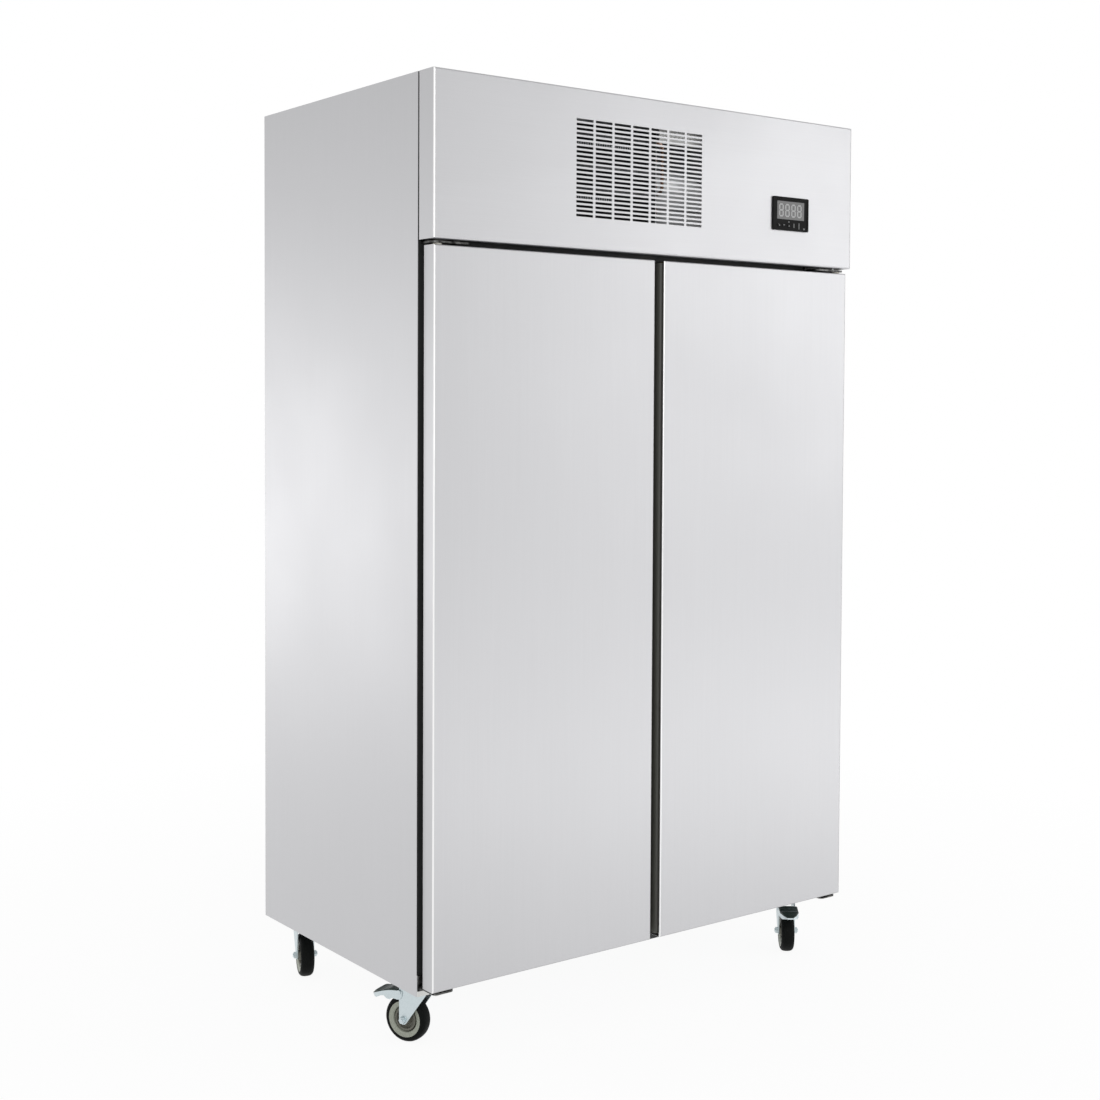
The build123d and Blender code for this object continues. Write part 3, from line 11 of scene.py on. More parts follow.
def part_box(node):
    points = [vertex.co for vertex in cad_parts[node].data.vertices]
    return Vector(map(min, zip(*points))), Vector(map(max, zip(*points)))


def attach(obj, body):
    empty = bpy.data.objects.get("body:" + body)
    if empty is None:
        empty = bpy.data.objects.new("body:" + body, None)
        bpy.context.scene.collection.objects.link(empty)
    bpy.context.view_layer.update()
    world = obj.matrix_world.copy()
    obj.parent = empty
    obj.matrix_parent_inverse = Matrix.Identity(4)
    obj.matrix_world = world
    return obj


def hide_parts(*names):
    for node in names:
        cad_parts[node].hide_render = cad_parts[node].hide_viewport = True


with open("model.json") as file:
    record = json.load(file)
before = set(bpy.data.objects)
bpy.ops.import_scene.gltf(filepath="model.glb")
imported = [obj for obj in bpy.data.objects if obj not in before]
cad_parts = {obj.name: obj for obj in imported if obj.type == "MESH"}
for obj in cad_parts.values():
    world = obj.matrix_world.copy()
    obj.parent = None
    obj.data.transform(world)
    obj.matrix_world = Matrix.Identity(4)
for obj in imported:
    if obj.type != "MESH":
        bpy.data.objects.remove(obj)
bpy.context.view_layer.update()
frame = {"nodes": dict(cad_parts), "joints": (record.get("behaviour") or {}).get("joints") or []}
nodes = frame["nodes"]
joints = {joint["name"]: joint for joint in frame["joints"]}
mm = 0.001
print("frame loaded with", len(nodes), "nodes")


def boxOf(name):  # a node's low and high corners in mm
    return [Vector(corner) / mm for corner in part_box(name)]


def linearColour(code):  # from sRGB hex
    shares = [int(code[i:i + 2], 16) / 255 for i in (1, 3, 5)]
    return [s / 12.92 if s <= 0.04045 else ((s + 0.055) / 1.055) ** 2.4 for s in shares] + [1.0]


# What the finishes share: the noise values that patches of gloss run between, how strongly the
# grain and the patches drive the tone unless a look says otherwise, and the products of a normal's
# x and y between which the painted highlight or painted shade on a bend fades in
patchRange = (0.3, 0.7)
patchDetail = 3.0
usualShares = {"grainShare": 0.6, "grainStart": 0.0, "patchShare": 0.4}
paintedBendSlants = (0.05, 0.3)


def addNode(tree, kind, settings, links=None):  # one shader node, its settings and what feeds it
    node = tree.nodes.new("ShaderNode" + kind)
    for name, value in settings.items():
        if isinstance(name, int) or name in node.inputs:
            node.inputs[name].default_value = value
        else:
            setattr(node, name, value)
    for name, source in (links or {}).items():
        tree.links.new(source, node.inputs[name])
    return node


def mathNode(tree, operation, first, second):  # each side is a constant or a socket
    settings, links = {"operation": operation}, {}
    for place, value in enumerate((first, second)):
        (settings if isinstance(value, float) else links)[place] = value
    return addNode(tree, "Math", settings, links).outputs[0]


def tint(tree, share, tone, colour):  # moves a tone to a fixed colour by a share
    return addNode(
        tree, "Mix", {"data_type": "RGBA", 7: linearColour(colour)}, {0: share, 6: tone}).outputs[2]


def paintBendLight(tree, bends, tone, gloss):  # paints a highlight or a shade on upright bends, told by a normal between x and y
    facing = addNode(tree, "SeparateXYZ", {}, {0: addNode(tree, "TexCoord", {}).outputs["Normal"]})
    slanted = mathNode(tree, "MULTIPLY", facing.outputs[0], facing.outputs[1])
    for sign, colour, roughness in bends:
        bend = addNode(
            tree, "MapRange", {"From Min": paintedBendSlants[0] * sign, "From Max": paintedBendSlants[1] * sign},
            {"Value": slanted}).outputs[0]
        tone = tint(tree, bend, tone, colour)
        gloss = addNode(tree, "Mix", {"data_type": "FLOAT", 3: roughness}, {0: bend, 2: gloss}).outputs[0]
    return tone, gloss


def paintLitFoot(tree, place, foot, tone):  # a painted light tone below a level, in mm
    level, colour = foot
    height = addNode(tree, "SeparateXYZ", {}, {0: place}).outputs[2]
    return tint(tree, mathNode(tree, "LESS_THAN", height, level * mm), tone, colour)


def makeFinish(name, look):
    # A pattern stretched to the real grain drives tone and relief, and slow patches drive gloss.
    material = bpy.data.materials.new(name)
    material.use_nodes = True
    tree = material.node_tree
    shader = tree.nodes["Principled BSDF"]
    for setting, value in look.get("shader", {}).items():
        shader.inputs[setting].default_value = value
    shares = {key: look.get(key, usual) for key, usual in usualShares.items()}
    place = addNode(tree, "TexCoord", {}).outputs["Object"]
    sizes = look["grainSize"]  # mm along x, y and z
    stretch = addNode(tree, "Mapping", {"Scale": [1 / (size * mm) for size in sizes]}, {"Vector": place})
    pattern = {"Scale": 1.0}
    pattern.update(look.get("pattern", {}))
    grain = addNode(tree, look.get("kind", "TexNoise"), pattern, {"Vector": stretch.outputs["Vector"]})
    figure = grain.outputs[look.get("output", 0)]
    patches = addNode(
        tree, "TexNoise", {"Scale": 1 / (look["patchSize"] * mm), "Detail": patchDetail}, {"Vector": place})
    share = addNode(
        tree, "Math", {"operation": "MULTIPLY_ADD", 1: shares["grainShare"], 2: shares["grainStart"]},
        {0: figure})
    mixed = addNode(
        tree, "Math", {"operation": "MULTIPLY_ADD", 1: shares["patchShare"], "use_clamp": True},
        {0: patches.outputs[0], 2: share.outputs[0]})
    light, dark = linearColour(look["colours"][0]), linearColour(look["colours"][1])
    tone = addNode(tree, "Mix", {"data_type": "RGBA", 6: dark, 7: light}, {0: mixed.outputs[0]}).outputs[2]
    gloss = addNode(
        tree, "MapRange", {"From Min": patchRange[0], "From Max": patchRange[1],
                           "To Min": look["roughness"][0], "To Max": look["roughness"][1]},
        {"Value": patches.outputs[0]}).outputs[0]
    # painted highlight or painted shade on upright bends, where a look asks for it
    if "bends" in look:
        tone, gloss = paintBendLight(tree, look["bends"], tone, gloss)
    # painted light below a level, where a look asks for it
    if "foot" in look:
        tone = paintLitFoot(tree, place, look["foot"], tone)
    tree.links.new(tone, shader.inputs["Base Color"])
    tree.links.new(gloss, shader.inputs["Roughness"])
    relief = addNode(tree, "Bump", {"Distance": look["relief"] * mm}, {"Height": figure})
    tree.links.new(relief.outputs[0], shader.inputs["Normal"])
    return material


metal = {"Metallic": 1.0}
# Brushed stainless sheet: a soft, almost even grey with faint lines along the grain. Real lines
# are about 0.1 mm apart, and are drawn wider here so that they show. On folded panels the upright
# bends that face front and left get a painted highlight, and those that face front and right painted shade.
steelLook = {"colours": ("#CCCCCE", "#C2C2C4"), "roughness": (0.46, 0.51), "relief": 0.012,
             "patchSize": 420, "pattern": {"Detail": 4.0, "Roughness": 0.65}, "shader": metal}
paintedBendLight = ((1, "#F6F6F6", 0.3), (-1, "#6E6E70", 0.4))  # side of the bend, colour of the painted highlight or painted shade, roughness
uprightGrain, levelGrain = (1.6, 1.6, 260), (260, 1.6, 1.6)
steelSheet = makeFinish("brushedStainlessSheet", dict(steelLook, grainSize=uprightGrain))
steelUprightPaintedBends = makeFinish(
    "brushedStainlessPaintedBendLight", dict(steelLook, grainSize=uprightGrain, bends=paintedBendLight))
steelLevelPaintedBends = makeFinish(
    "brushedStainlessPaintedBendLightLevel", dict(steelLook, grainSize=levelGrain, bends=paintedBendLight))

# Galvanised sheet: a dull zinc grey broken into crystals (spangle) about 9 mm across
galvanisedSteel = makeFinish("galvanisedSheet", {
    "kind": "TexVoronoi", "output": "Color", "grainSize": (9, 9, 9), "grainShare": 0.7,
    "colours": ("#CBCECF", "#AEB2B4"), "roughness": (0.38, 0.52), "relief": 0.004, "patchSize": 150,
    "shader": metal})

# Zinc-plated pressed steel: bright and slightly blue, with a fine orange-peel from the rolling
zincSteel = makeFinish("zincPlatedSteel", {
    "grainSize": (2.4, 2.4, 2.4), "pattern": {"Detail": 3.0}, "colours": ("#DAE3E6", "#BCC7CA"),
    "roughness": (0.36, 0.48), "relief": 0.02, "patchSize": 16, "shader": metal})

# Hinge steel: cold-rolled plate, painted dark as shade, with painted glints in patches.
# The foot below the lower pivot plate is painted light, as the lit part under the painted shade above.
litFootHeight = 11.3  # mm above the lowest point of the brackets
hingeSteelPaintedShadeGlints = makeFinish("hingeSteelPaintedShadeAndGlints", {
    "grainSize": (60, 1.4, 1.4), "pattern": {"Detail": 2.0}, "colours": ("#A9A9A7", "#1D1D1D"),
    "grainShare": 0.25, "grainStart": -0.62, "patchShare": 1.35, "roughness": (0.3, 0.42), "relief": 0.01,
    "patchSize": 11, "foot": (boxOf("hinge_brackets")[0].z + litFootHeight, "#D2D2D0"), "shader": metal})

# Copper tube: drawn, with the darker bloom that brazing and handling leave
copperTube = makeFinish("drawnCopperTube", {
    "grainSize": (6, 6, 6), "pattern": {"Detail": 4.0}, "colours": ("#A98571", "#6B5347"),
    "grainShare": 0.7, "patchShare": 0.5, "roughness": (0.25, 0.45), "relief": 0.01, "patchSize": 40,
    "shader": metal})

# Plain aluminium fin stock: thin upright plates 2.5 mm apart, which read as fine lines
oneBandEach = 0.3183  # wave scale that gives about one band for each plate
finStock = {"kind": "TexWave", "output": "Fac", "grainSize": (2.5, 2.5, 2.5), "grainShare": 0.9,
            "pattern": {"wave_type": "BANDS", "bands_direction": "X", "Scale": oneBandEach,
                        "Distortion": 0.0},
            "patchShare": 0.2, "relief": 0.9, "patchSize": 60}
aluminiumFins = makeFinish("aluminiumFinStock", dict(
    finStock, colours=("#D2D5D8", "#74777A"), roughness=(0.35, 0.5), shader=metal))

# The condenser's fins are dip-painted black: the same lines, satin and nearly closed
blackFins = makeFinish("blackDippedFins", dict(
    finStock, colours=("#1A1B1B", "#060606"), roughness=(0.45, 0.6),
    shader={"IOR": 1.5, "Specular IOR Level": 0.15}))

# Condenser tubes: the same dip over smooth tube, glossy, and a lighter grey than the fins as a painted
# sheen, so that they show a thin line of light
dippedTubePaintedSheen = makeFinish("blackDipTubePaintedSheen", {
    "grainSize": (8, 2, 2), "pattern": {"Detail": 2.0}, "colours": ("#5A5B5C", "#2B2C2D"),
    "roughness": (0.22, 0.32), "relief": 0.01, "patchSize": 30, "shader": {"IOR": 1.5}})

# Compressor shell: grey stoving enamel over a drawn dome, with a slight orange-peel
compressorEnamel = makeFinish("stovedGreyEnamel", {
    "grainSize": (3, 3, 3), "pattern": {"Detail": 2.0}, "colours": ("#B9BABB", "#A3A4A5"),
    "roughness": (0.22, 0.34), "relief": 0.05, "patchSize": 70, "shader": {"IOR": 1.5, "Coat Weight": 0.3}})

# Electrical box: steel sheet under a white powder coat, with its fine leathery texture
whitePowder = makeFinish("whitePowderCoat", {
    "grainSize": (0.9, 0.9, 0.9), "pattern": {"Detail": 2.0}, "colours": ("#F0F0EE", "#E6E6E4"),
    "roughness": (0.42, 0.52), "relief": 0.03, "patchSize": 60, "shader": {"IOR": 1.5}})

# Front frame: extruded ABS, charcoal, with the fine matt of the calibrator
frameAbs = makeFinish("extrudedAbsCharcoal", {
    "grainSize": (1.2, 1.2, 30), "pattern": {"Detail": 3.0}, "colours": ("#343535", "#272828"),
    "roughness": (0.42, 0.52), "relief": 0.02, "patchSize": 200,
    "shader": {"IOR": 1.53, "Specular IOR Level": 0.3}})

# Door grip: extruded PVC, an olive grey that shows long faint die lines
gripPvc = makeFinish("extrudedPvcOliveGrey", {
    "grainSize": (1.0, 1.0, 400), "pattern": {"Detail": 3.0}, "colours": ("#5F5F59", "#53534E"),
    "roughness": (0.38, 0.48), "relief": 0.02, "patchSize": 180, "shader": {"IOR": 1.53}})

# Magnetic gasket: soft PVC, nearly black, dusty along its length
gasketPvc = makeFinish("softPvcGasket", {
    "grainSize": (2, 2, 120), "pattern": {"Detail": 3.0}, "colours": ("#3B3B3A", "#2B2B2B"),
    "roughness": (0.5, 0.66), "relief": 0.03, "patchSize": 90, "shader": {"IOR": 1.53}})

# Polyurethane foam: pale yellow, with small open cells
puFoam = makeFinish("rigidPolyurethaneFoam", {
    "kind": "TexVoronoi", "output": "Distance", "grainSize": (1.5, 1.5, 1.5), "grainShare": 0.7,
    "colours": ("#E8D9A6", "#C3AC6E"), "roughness": (0.75, 0.9), "relief": 0.4, "patchSize": 60,
    "shader": {"IOR": 1.45}})

# Fans, motors and the inlet: moulded black plastic with a spark-eroded grain
blackPlastic = makeFinish("mouldedBlackPolyamide", {
    "grainSize": (0.9, 0.9, 0.9), "pattern": {"Detail": 3.0}, "colours": ("#1B1C1C", "#101111"),
    "roughness": (0.4, 0.52), "relief": 0.04, "patchSize": 30,
    "shader": {"IOR": 1.53, "Specular IOR Level": 0.25}})

# Controller: black ABS with a satin face, so that the rim catches a thin line of light
bezelAbs = makeFinish("mouldedBlackAbs", {
    "grainSize": (0.8, 0.8, 0.8), "pattern": {"Detail": 2.0}, "colours": ("#0A0A0A", "#040404"),
    "roughness": (0.3, 0.38), "relief": 0.012, "patchSize": 50,
    "shader": {"IOR": 1.54, "Specular IOR Level": 0.06}})

# Display window: smoked polycarbonate over a grey backing, glossy
displayPane = makeFinish("smokedPolycarbonate", {
    "grainSize": (5, 5, 5), "pattern": {"Detail": 2.0}, "colours": ("#727272", "#676767"),
    "roughness": (0.2, 0.28), "relief": 0.004, "patchSize": 30,
    "shader": {"IOR": 1.58, "Specular IOR Level": 0.2}})

# Unlit digit segments: pale light guides
digitGuide = makeFinish("paleLightGuide", {
    "grainSize": (1.5, 1.5, 1.5), "pattern": {"Detail": 2.0}, "colours": ("#ADADAD", "#A0A0A0"),
    "roughness": (0.25, 0.35), "relief": 0.004, "patchSize": 20,
    "shader": {"IOR": 1.5, "Specular IOR Level": 0.25}})

# Keys: the bezel's black in a softer elastomer, so they look a little greyer
keyRubber = makeFinish("siliconeKey", {
    "grainSize": (0.7, 0.7, 0.7), "pattern": {"Detail": 2.0}, "colours": ("#111111", "#0A0A0A"),
    "roughness": (0.5, 0.6), "relief": 0.015, "patchSize": 12,
    "shader": {"IOR": 1.43, "Specular IOR Level": 0.15}})

# Pad-printed marks: a matt light grey ink, unevenly worn
markInk = makeFinish("padPrintedGreyInk", {
    "grainSize": (0.6, 0.6, 0.6), "pattern": {"Detail": 3.0}, "colours": ("#8F9090", "#6B6C6C"),
    "roughness": (0.55, 0.65), "relief": 0.01, "patchSize": 5, "shader": {"IOR": 1.48}})

# Bushes: natural nylon, milky and slightly translucent
naturalNylon = makeFinish("naturalNylon", {
    "grainSize": (2, 2, 2), "pattern": {"Detail": 2.0}, "colours": ("#E9E6DC", "#DAD6C8"),
    "roughness": (0.3, 0.42), "relief": 0.01, "patchSize": 12,
    "shader": {"IOR": 1.53, "Subsurface Weight": 0.1, "Subsurface Radius": [0.004, 0.003, 0.002],
               "Subsurface Scale": 1.0}})

# Shelf wire: steel rod dipped in light grey polyamide, slightly dimpled
coatedWire = makeFinish("dippedWireCoating", {
    "grainSize": (2.5, 2.5, 2.5), "pattern": {"Detail": 2.0}, "colours": ("#DADBDA", "#CBCCCB"),
    "roughness": (0.3, 0.42), "relief": 0.06, "patchSize": 60, "shader": {"IOR": 1.53}})

# Castor hub: moulded grey-green polyamide, satin, with faint stains
hubPolyamide = makeFinish("mouldedGreyPolyamide", {
    "grainSize": (1.2, 1.2, 1.2), "pattern": {"Detail": 3.0}, "colours": ("#AFB3A5", "#989C8E"),
    "roughness": (0.36, 0.48), "relief": 0.02, "patchSize": 14, "shader": {"IOR": 1.53}})

# Castor hub inside its rim: the same polyamide, darkened as painted shade in the recess
hubPaintedShade = makeFinish("greyPolyamidePaintedShade", {
    "grainSize": (1.2, 1.2, 1.2), "pattern": {"Detail": 4.0}, "colours": ("#86857A", "#55544C"),
    "roughness": (0.36, 0.5), "relief": 0.03, "patchSize": 10,
    "shader": {"IOR": 1.53, "Specular IOR Level": 0.3}})

# Tyre: black elastic rubber, matt, with faint dusty patches
tyreRubber = makeFinish("elasticBlackRubber", {
    "grainSize": (1.5, 1.5, 1.5), "pattern": {"Detail": 4.0}, "colours": ("#101211", "#080A09"),
    "roughness": (0.5, 0.64), "relief": 0.05, "patchSize": 22,
    "shader": {"IOR": 1.52, "Specular IOR Level": 0.08}})

# Brake tread: glass-filled polyamide, dark green-grey, moulded with a fine grain
treadPolyamide = makeFinish("mouldedTreadPolyamide", {
    "grainSize": (1.1, 1.1, 1.1), "pattern": {"Detail": 3.0}, "colours": ("#35433F", "#222C2A"),
    "roughness": (0.34, 0.46), "relief": 0.05, "patchSize": 18,
    "shader": {"IOR": 1.53, "Specular IOR Level": 0.35}})

slotFinishes = {
    "brushed_stainless": steelSheet, "dark_plastic": frameAbs, "grip_plastic": gripPvc,
    "gasket_rubber": gasketPvc, "foam": puFoam, "galvanised_steel": galvanisedSteel,
    "black_fins": blackFins, "aluminium_fins": aluminiumFins, "copper": copperTube,
    "compressor_paint": compressorEnamel, "black_plastic": blackPlastic, "bezel_plastic": bezelAbs,
    "display_plastic": displayPane, "key_plastic": keyRubber, "nylon": naturalNylon,
    "hinge_steel": hingeSteelPaintedShadeGlints, "coated_wire": coatedWire, "zinc_steel": zincSteel,
    "hub_plastic": hubPolyamide, "tyre_rubber": tyreRubber, "tread_plastic": treadPolyamide,
}
nodeFinishes = {
    "header_panel": steelLevelPaintedBends, "evaporator_cover": steelLevelPaintedBends, "shelf_supports": steelLevelPaintedBends,
    "door_left_skin": steelUprightPaintedBends, "door_right_skin": steelUprightPaintedBends, "electrical_box": whitePowder,
}
for name, node in nodes.items():
    for holder in node.material_slots:  # a slot's name may have a number after a dot
        holder.material = nodeFinishes.get(name) or slotFinishes[holder.material.name.split(".")[0]]
print("finishes on every node")


weldDistance = 1e-6  # metres
plainWeldDistance = 1e-5  # metres, for a mesh from the frame
sharpAngle = math.radians(35)


def finishPiece(name, mesh, body, material, replaced=(), smooth=True):
    bmesh.ops.remove_doubles(mesh, verts=mesh.verts, dist=weldDistance)
    bmesh.ops.recalc_face_normals(mesh, faces=mesh.faces)
    data = bpy.data.meshes.new(name)
    mesh.to_mesh(data)
    mesh.free()
    data.materials.append(material)
    if smooth:
        data.shade_smooth()
        data.set_sharp_from_angle(angle=sharpAngle)
    piece = bpy.data.objects.new(name, data)
    bpy.context.scene.collection.objects.link(piece)
    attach(piece, body)
    if replaced:
        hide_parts(*replaced)
    return piece


def roundEdges(mesh, edges, offset, segments=2):  # offset in mm
    bmesh.ops.bevel(
        mesh, geom=edges, offset=offset * mm, segments=segments, profile=0.5, affect="EDGES", material=-1)


def turn(mesh, profile, place, steps):
    # Spins a profile of (along the axle, radius) in mm about the local X axis. The profile is
    # closed, unless it starts and ends on the axis.
    known = set(mesh.verts)
    verts = [mesh.verts.new((along * mm, 0, radius * mm)) for along, radius in profile]
    following = verts[1:] + (verts[:1] if profile[0][1] > 0 else [])
    edges = [mesh.edges.new(pair) for pair in zip(verts, following)]
    bmesh.ops.spin(
        mesh, geom=verts + edges, cent=(0, 0, 0), axis=(1, 0, 0), angle=math.tau, steps=steps,
        use_merge=True)
    bmesh.ops.transform(mesh, matrix=place, verts=[v for v in mesh.verts if v not in known])


def bothSides(half):  # a half profile followed by its mirror image, for a wheel alike on both faces
    return half + [(-along, radius) for along, radius in reversed(half)]


def axlePlace(joint):  # turns local X into a joint's level axis, at the joint's place
    axis = Vector(joint["axis"]).normalized()
    across = Vector((0, 0, 1)).cross(axis)
    return Matrix.Translation(joint["pos_m"]) @ Matrix(
        [[axis[i], across[i], (0, 0, 1)[i], 0] for i in range(3)] + [[0, 0, 0, 1]])


# Wheels: tyre and hub turned from fuller profiles than the plain ones that they replace
wheel = {
    "steps": 96,
    "rimRadius": 27.4,  # painted shade darkens the hub inside this radius, mm
    # half profiles: millimetres from the wheel's middle plane, and radius
    "tyre": [(15.5, 38.4), (16.0, 39.2), (16.0, 41.5), (15.2, 44.2), (13.6, 46.4), (11.2, 48.2),
             (8.0, 49.4), (4.0, 49.9), (1.2, 50.0)],
    "hub": [(17.7, 4.05), (17.7, 9.6), (17.2, 10.4), (16.0, 11.0), (8.2, 13.0), (5.8, 14.2), (5.0, 18.4),
            (5.8, 19.6), (9.0, 20.4), (12.2, 21.2), (12.7, 22.0), (12.7, 24.4), (12.0, 25.2), (4.8, 25.9),
            (3.8, 26.8), (4.8, 27.7), (12.0, 28.4), (13.0, 29.0), (13.6, 30.0), (14.8, 36.4), (15.3, 37.2),
            (15.5, 38.4)],
}


def turnWheelPart(name, part, materials):
    body = "wheel_" + name
    roll = joints[body + "_roll"]
    mesh = bmesh.new()
    turn(mesh, bothSides(wheel[part]), axlePlace(roll), wheel["steps"])
    if len(materials) > 1:  # the second one, with painted shade, is inside the rim
        axle, middle = Vector(roll["axis"]), Vector(roll["pos_m"])
        for face in mesh.faces:
            reach = (face.calc_center_median() - middle).cross(axle).length
            face.material_index = 1 if reach < wheel["rimRadius"] * mm else 0
    plain = "castor_" + name + "_" + part
    piece = finishPiece(plain + "_turned", mesh, body, materials[0], [plain])
    for material in materials[1:]:
        piece.data.materials.append(material)


for name in ("front_left", "front_right", "rear_left", "rear_right"):
    turnWheelPart(name, "tyre", [tyreRubber])
    turnWheelPart(name, "hub", [hubPolyamide, hubPaintedShade])
print("wheels turned")


# Brake treads: a moulded cap that rises in humps for the shoe. Its outline and underside follow
# the plain cap that it replaces. Millimetres.
tread = {
    "thickness": 2.5,
    "crown": 0.5,  # how much lower the sides are than the middle
    "edge": 0.5,
    "sharpBend": 0.9,  # radians: edges that bend more are rounded
    "grid": (60, 10),
    # distance from the swivel axis, half width and rise
    "waves": ((66.0, 12.0, 2.2), (87.0, 8.0, -1.2), (104.0, 10.0, 3.2)),
}


def levelAt(line, reach):  # value of a sorted line of (reach, value) at one reach
    for (near, low), (far, high) in zip(line, line[1:]):
        if near <= reach <= far and far > near:
            return low + (high - low) * (reach - near) / (far - near)
    return line[0][1] if reach < line[0][0] else line[-1][1]


def waveRise(reach):  # in mm, at a distance from the swivel axis in mm
    total = 0.0
    for middle, half, rise in tread["waves"]:
        if abs(reach - middle) < half:
            total += rise * math.cos(math.pi / 2 * (reach - middle) / half) ** 2
    return total


def plainTreadLines(name, pivot, along, across):  # the plain cap's rim and underside, by reach
    plain = bmesh.new()
    plain.from_mesh(nodes["castor_" + name + "_tread"].data)
    bmesh.ops.remove_doubles(plain, verts=plain.verts, dist=plainWeldDistance)
    plain.normal_update()
    under = [v.co - pivot for v in plain.verts if v.normal.z < 0 and (v.co - pivot).dot(across) > 0]
    rim = sorted((co.dot(along), co.dot(across)) for co in under)
    underside = sorted((co.dot(along), co.z) for co in under)
    plain.free()
    return rim, underside


def mouldTread(name):
    pivot = Vector(joints["castor_" + name + "_swivel"]["pos_m"])
    along = Vector(joints["wheel_" + name + "_roll"]["pos_m"]) - pivot
    along.z = pivot.z = 0
    along.normalize()
    across = Vector((0, 0, 1)).cross(along)
    rim, underside = plainTreadLines(name, pivot, along, across)
    heel, length = rim[0][0], rim[-1][0] - rim[0][0]
    mesh = bmesh.new()
    bmesh.ops.create_grid(mesh, x_segments=tread["grid"][0], y_segments=tread["grid"][1], size=0.5)
    made = bmesh.ops.extrude_face_region(mesh, geom=mesh.faces[:])
    lower = {v for v in made["geom"] if isinstance(v, bmesh.types.BMVert)}
    for vert in mesh.verts:
        reach = heel + length * (vert.co.x + 0.5)
        aside = 2 * vert.co.y
        height = levelAt(underside, reach)
        if vert not in lower:
            height += (tread["thickness"] - tread["crown"] * aside ** 2 + waveRise(reach / mm)) * mm
        vert.co = pivot + along * reach + across * aside * levelAt(rim, reach)
        vert.co.z = height
    bmesh.ops.recalc_face_normals(mesh, faces=mesh.faces)
    corners = [e for e in mesh.edges
               if e.calc_face_angle() > tread["sharpBend"] and not set(e.verts) & lower]
    roundEdges(mesh, corners, tread["edge"])
    plainName = "castor_" + name + "_tread"
    finishPiece(plainName + "_moulded", mesh, "brake_" + name, treadPolyamide, [plainName])


for name in ("front_left", "front_right"):
    mouldTread(name)
print("brake treads moulded")


def raisePlate(mesh, outline, axis, low, high):
    # Lays a closed outline in mm at one level of an axis (1 is Y, 2 is Z) and extrudes it to another.
    def placed(first, second):
        return (first, low, second) if axis == 1 else (first, second, low)
    face = mesh.faces.new([mesh.verts.new(Vector(placed(a, b)) * mm) for a, b in outline])
    made = bmesh.ops.extrude_face_region(mesh, geom=[face])
    raised = [v for v in made["geom"] if isinstance(v, bmesh.types.BMVert)]
    shift = Vector((0, 0, 0))
    shift[axis] = (high - low) * mm
    bmesh.ops.translate(mesh, verts=raised, vec=shift)


# Charcoal strip clipped over the front fold of each side panel. It starts above the lower hinge.
edgeTrim = {"width": 4.9, "proud": 0.5, "round": 0.3, "rise": 45.6, "drop": 0.4}
for side, sign in (("left", -1), ("right", 1)):
    mesh = bmesh.new()
    low, high = boxOf("side_panel_" + side)
    outer = high.x if sign > 0 else low.x
    inner = outer - sign * edgeTrim["width"]
    corner = sign * edgeTrim["round"]
    front = low.y - edgeTrim["proud"]
    shoulder = front + edgeTrim["round"]
    outline = [(outer, low.y), (inner, low.y), (inner, shoulder), (inner + corner, front),
               (outer - corner, front), (outer, shoulder)]
    raisePlate(mesh, outline, 2, low.z + edgeTrim["rise"], high.z - edgeTrim["drop"])
    finishPiece("side_trim_" + side, mesh, "cabinet", frameAbs)
print("edge trims drawn")

# Unlit four-digit display: seven pale light guides a digit, just proud of the window. Millimetres.
display = {
    "centres": (13.2, 32.9, 52.8, 72.1),  # of the digits, from the window's left edge
    "drop": 5.8,  # the window's top to a digit's top
    "width": 14.6, "height": 30.6, "stroke": 3.5, "gap": 0.7, "proud": 0.12,
}
windowLow, windowHigh = boxOf("display_window")


def addBar(mesh, x, z, length, upright):  # a light guide: a bar with pointed ends
    half, quarter = length / 2, display["stroke"] / 2
    outline = [(-half, 0), (quarter - half, quarter), (half - quarter, quarter), (half, 0),
               (half - quarter, -quarter), (quarter - half, -quarter)]
    placed = [(x + b, z + a) if upright else (x + a, z + b) for a, b in outline]
    raisePlate(mesh, placed, 1, windowLow.y, windowLow.y - display["proud"])


mesh = bmesh.new()
across = (display["width"] - display["stroke"]) / 2
rise = (display["height"] - display["stroke"]) / 2
z = windowHigh.z - display["drop"] - display["height"] / 2
for centre in display["centres"]:
    x = windowLow.x + centre
    for level in (-1, 0, 1):
        addBar(mesh, x, z + level * rise, 2 * across - display["gap"], False)
    for side in (-1, 1):
        for level in (-1, 1):
            addBar(mesh, x + side * across, z + level * rise / 2, rise - display["gap"], True)
finishPiece("display_digits", mesh, "cabinet", digitGuide, smooth=False)
print("display digits set")

# Printed marks: an arrow and two triangles on the keys, two strokes and two dots on the bezel.
# Outlines are of (x, z) in mm from the middle of the key or bezel, and a dot is x, z and radius.
marks = {
    "depth": 0.08,
    "key_set": [[(-1.8, 2.3), (1.4, -0.9), (-0.1, -2.2), (3.6, -2.4), (3.4, 1.2), (2.3, 0.0), (-0.9, 3.0)]],
    "key_down": [[(-2.6, 1.7), (0.0, -1.9), (2.6, 1.7)]],
    "key_up": [[(-2.2, -2.2), (2.2, -2.2), (0.0, 1.9)]],
    "bezel": [[(9.6, -31.5), (12.0, -31.5), (12.0, -21.5), (9.6, -21.5)],
              [(26.2, -33.5), (28.6, -33.5), (28.6, -19.5), (26.2, -19.5)]],
    "dots": ((44.0, -32.5, 2.3), (-5.8, -18.5, 1.7)),
    "dotSteps": 20,
}


def dotOutline(x, z, radius):
    angles = [math.tau * step / marks["dotSteps"] for step in range(marks["dotSteps"])]
    return [(x + radius * math.cos(a), z + radius * math.sin(a)) for a in angles]


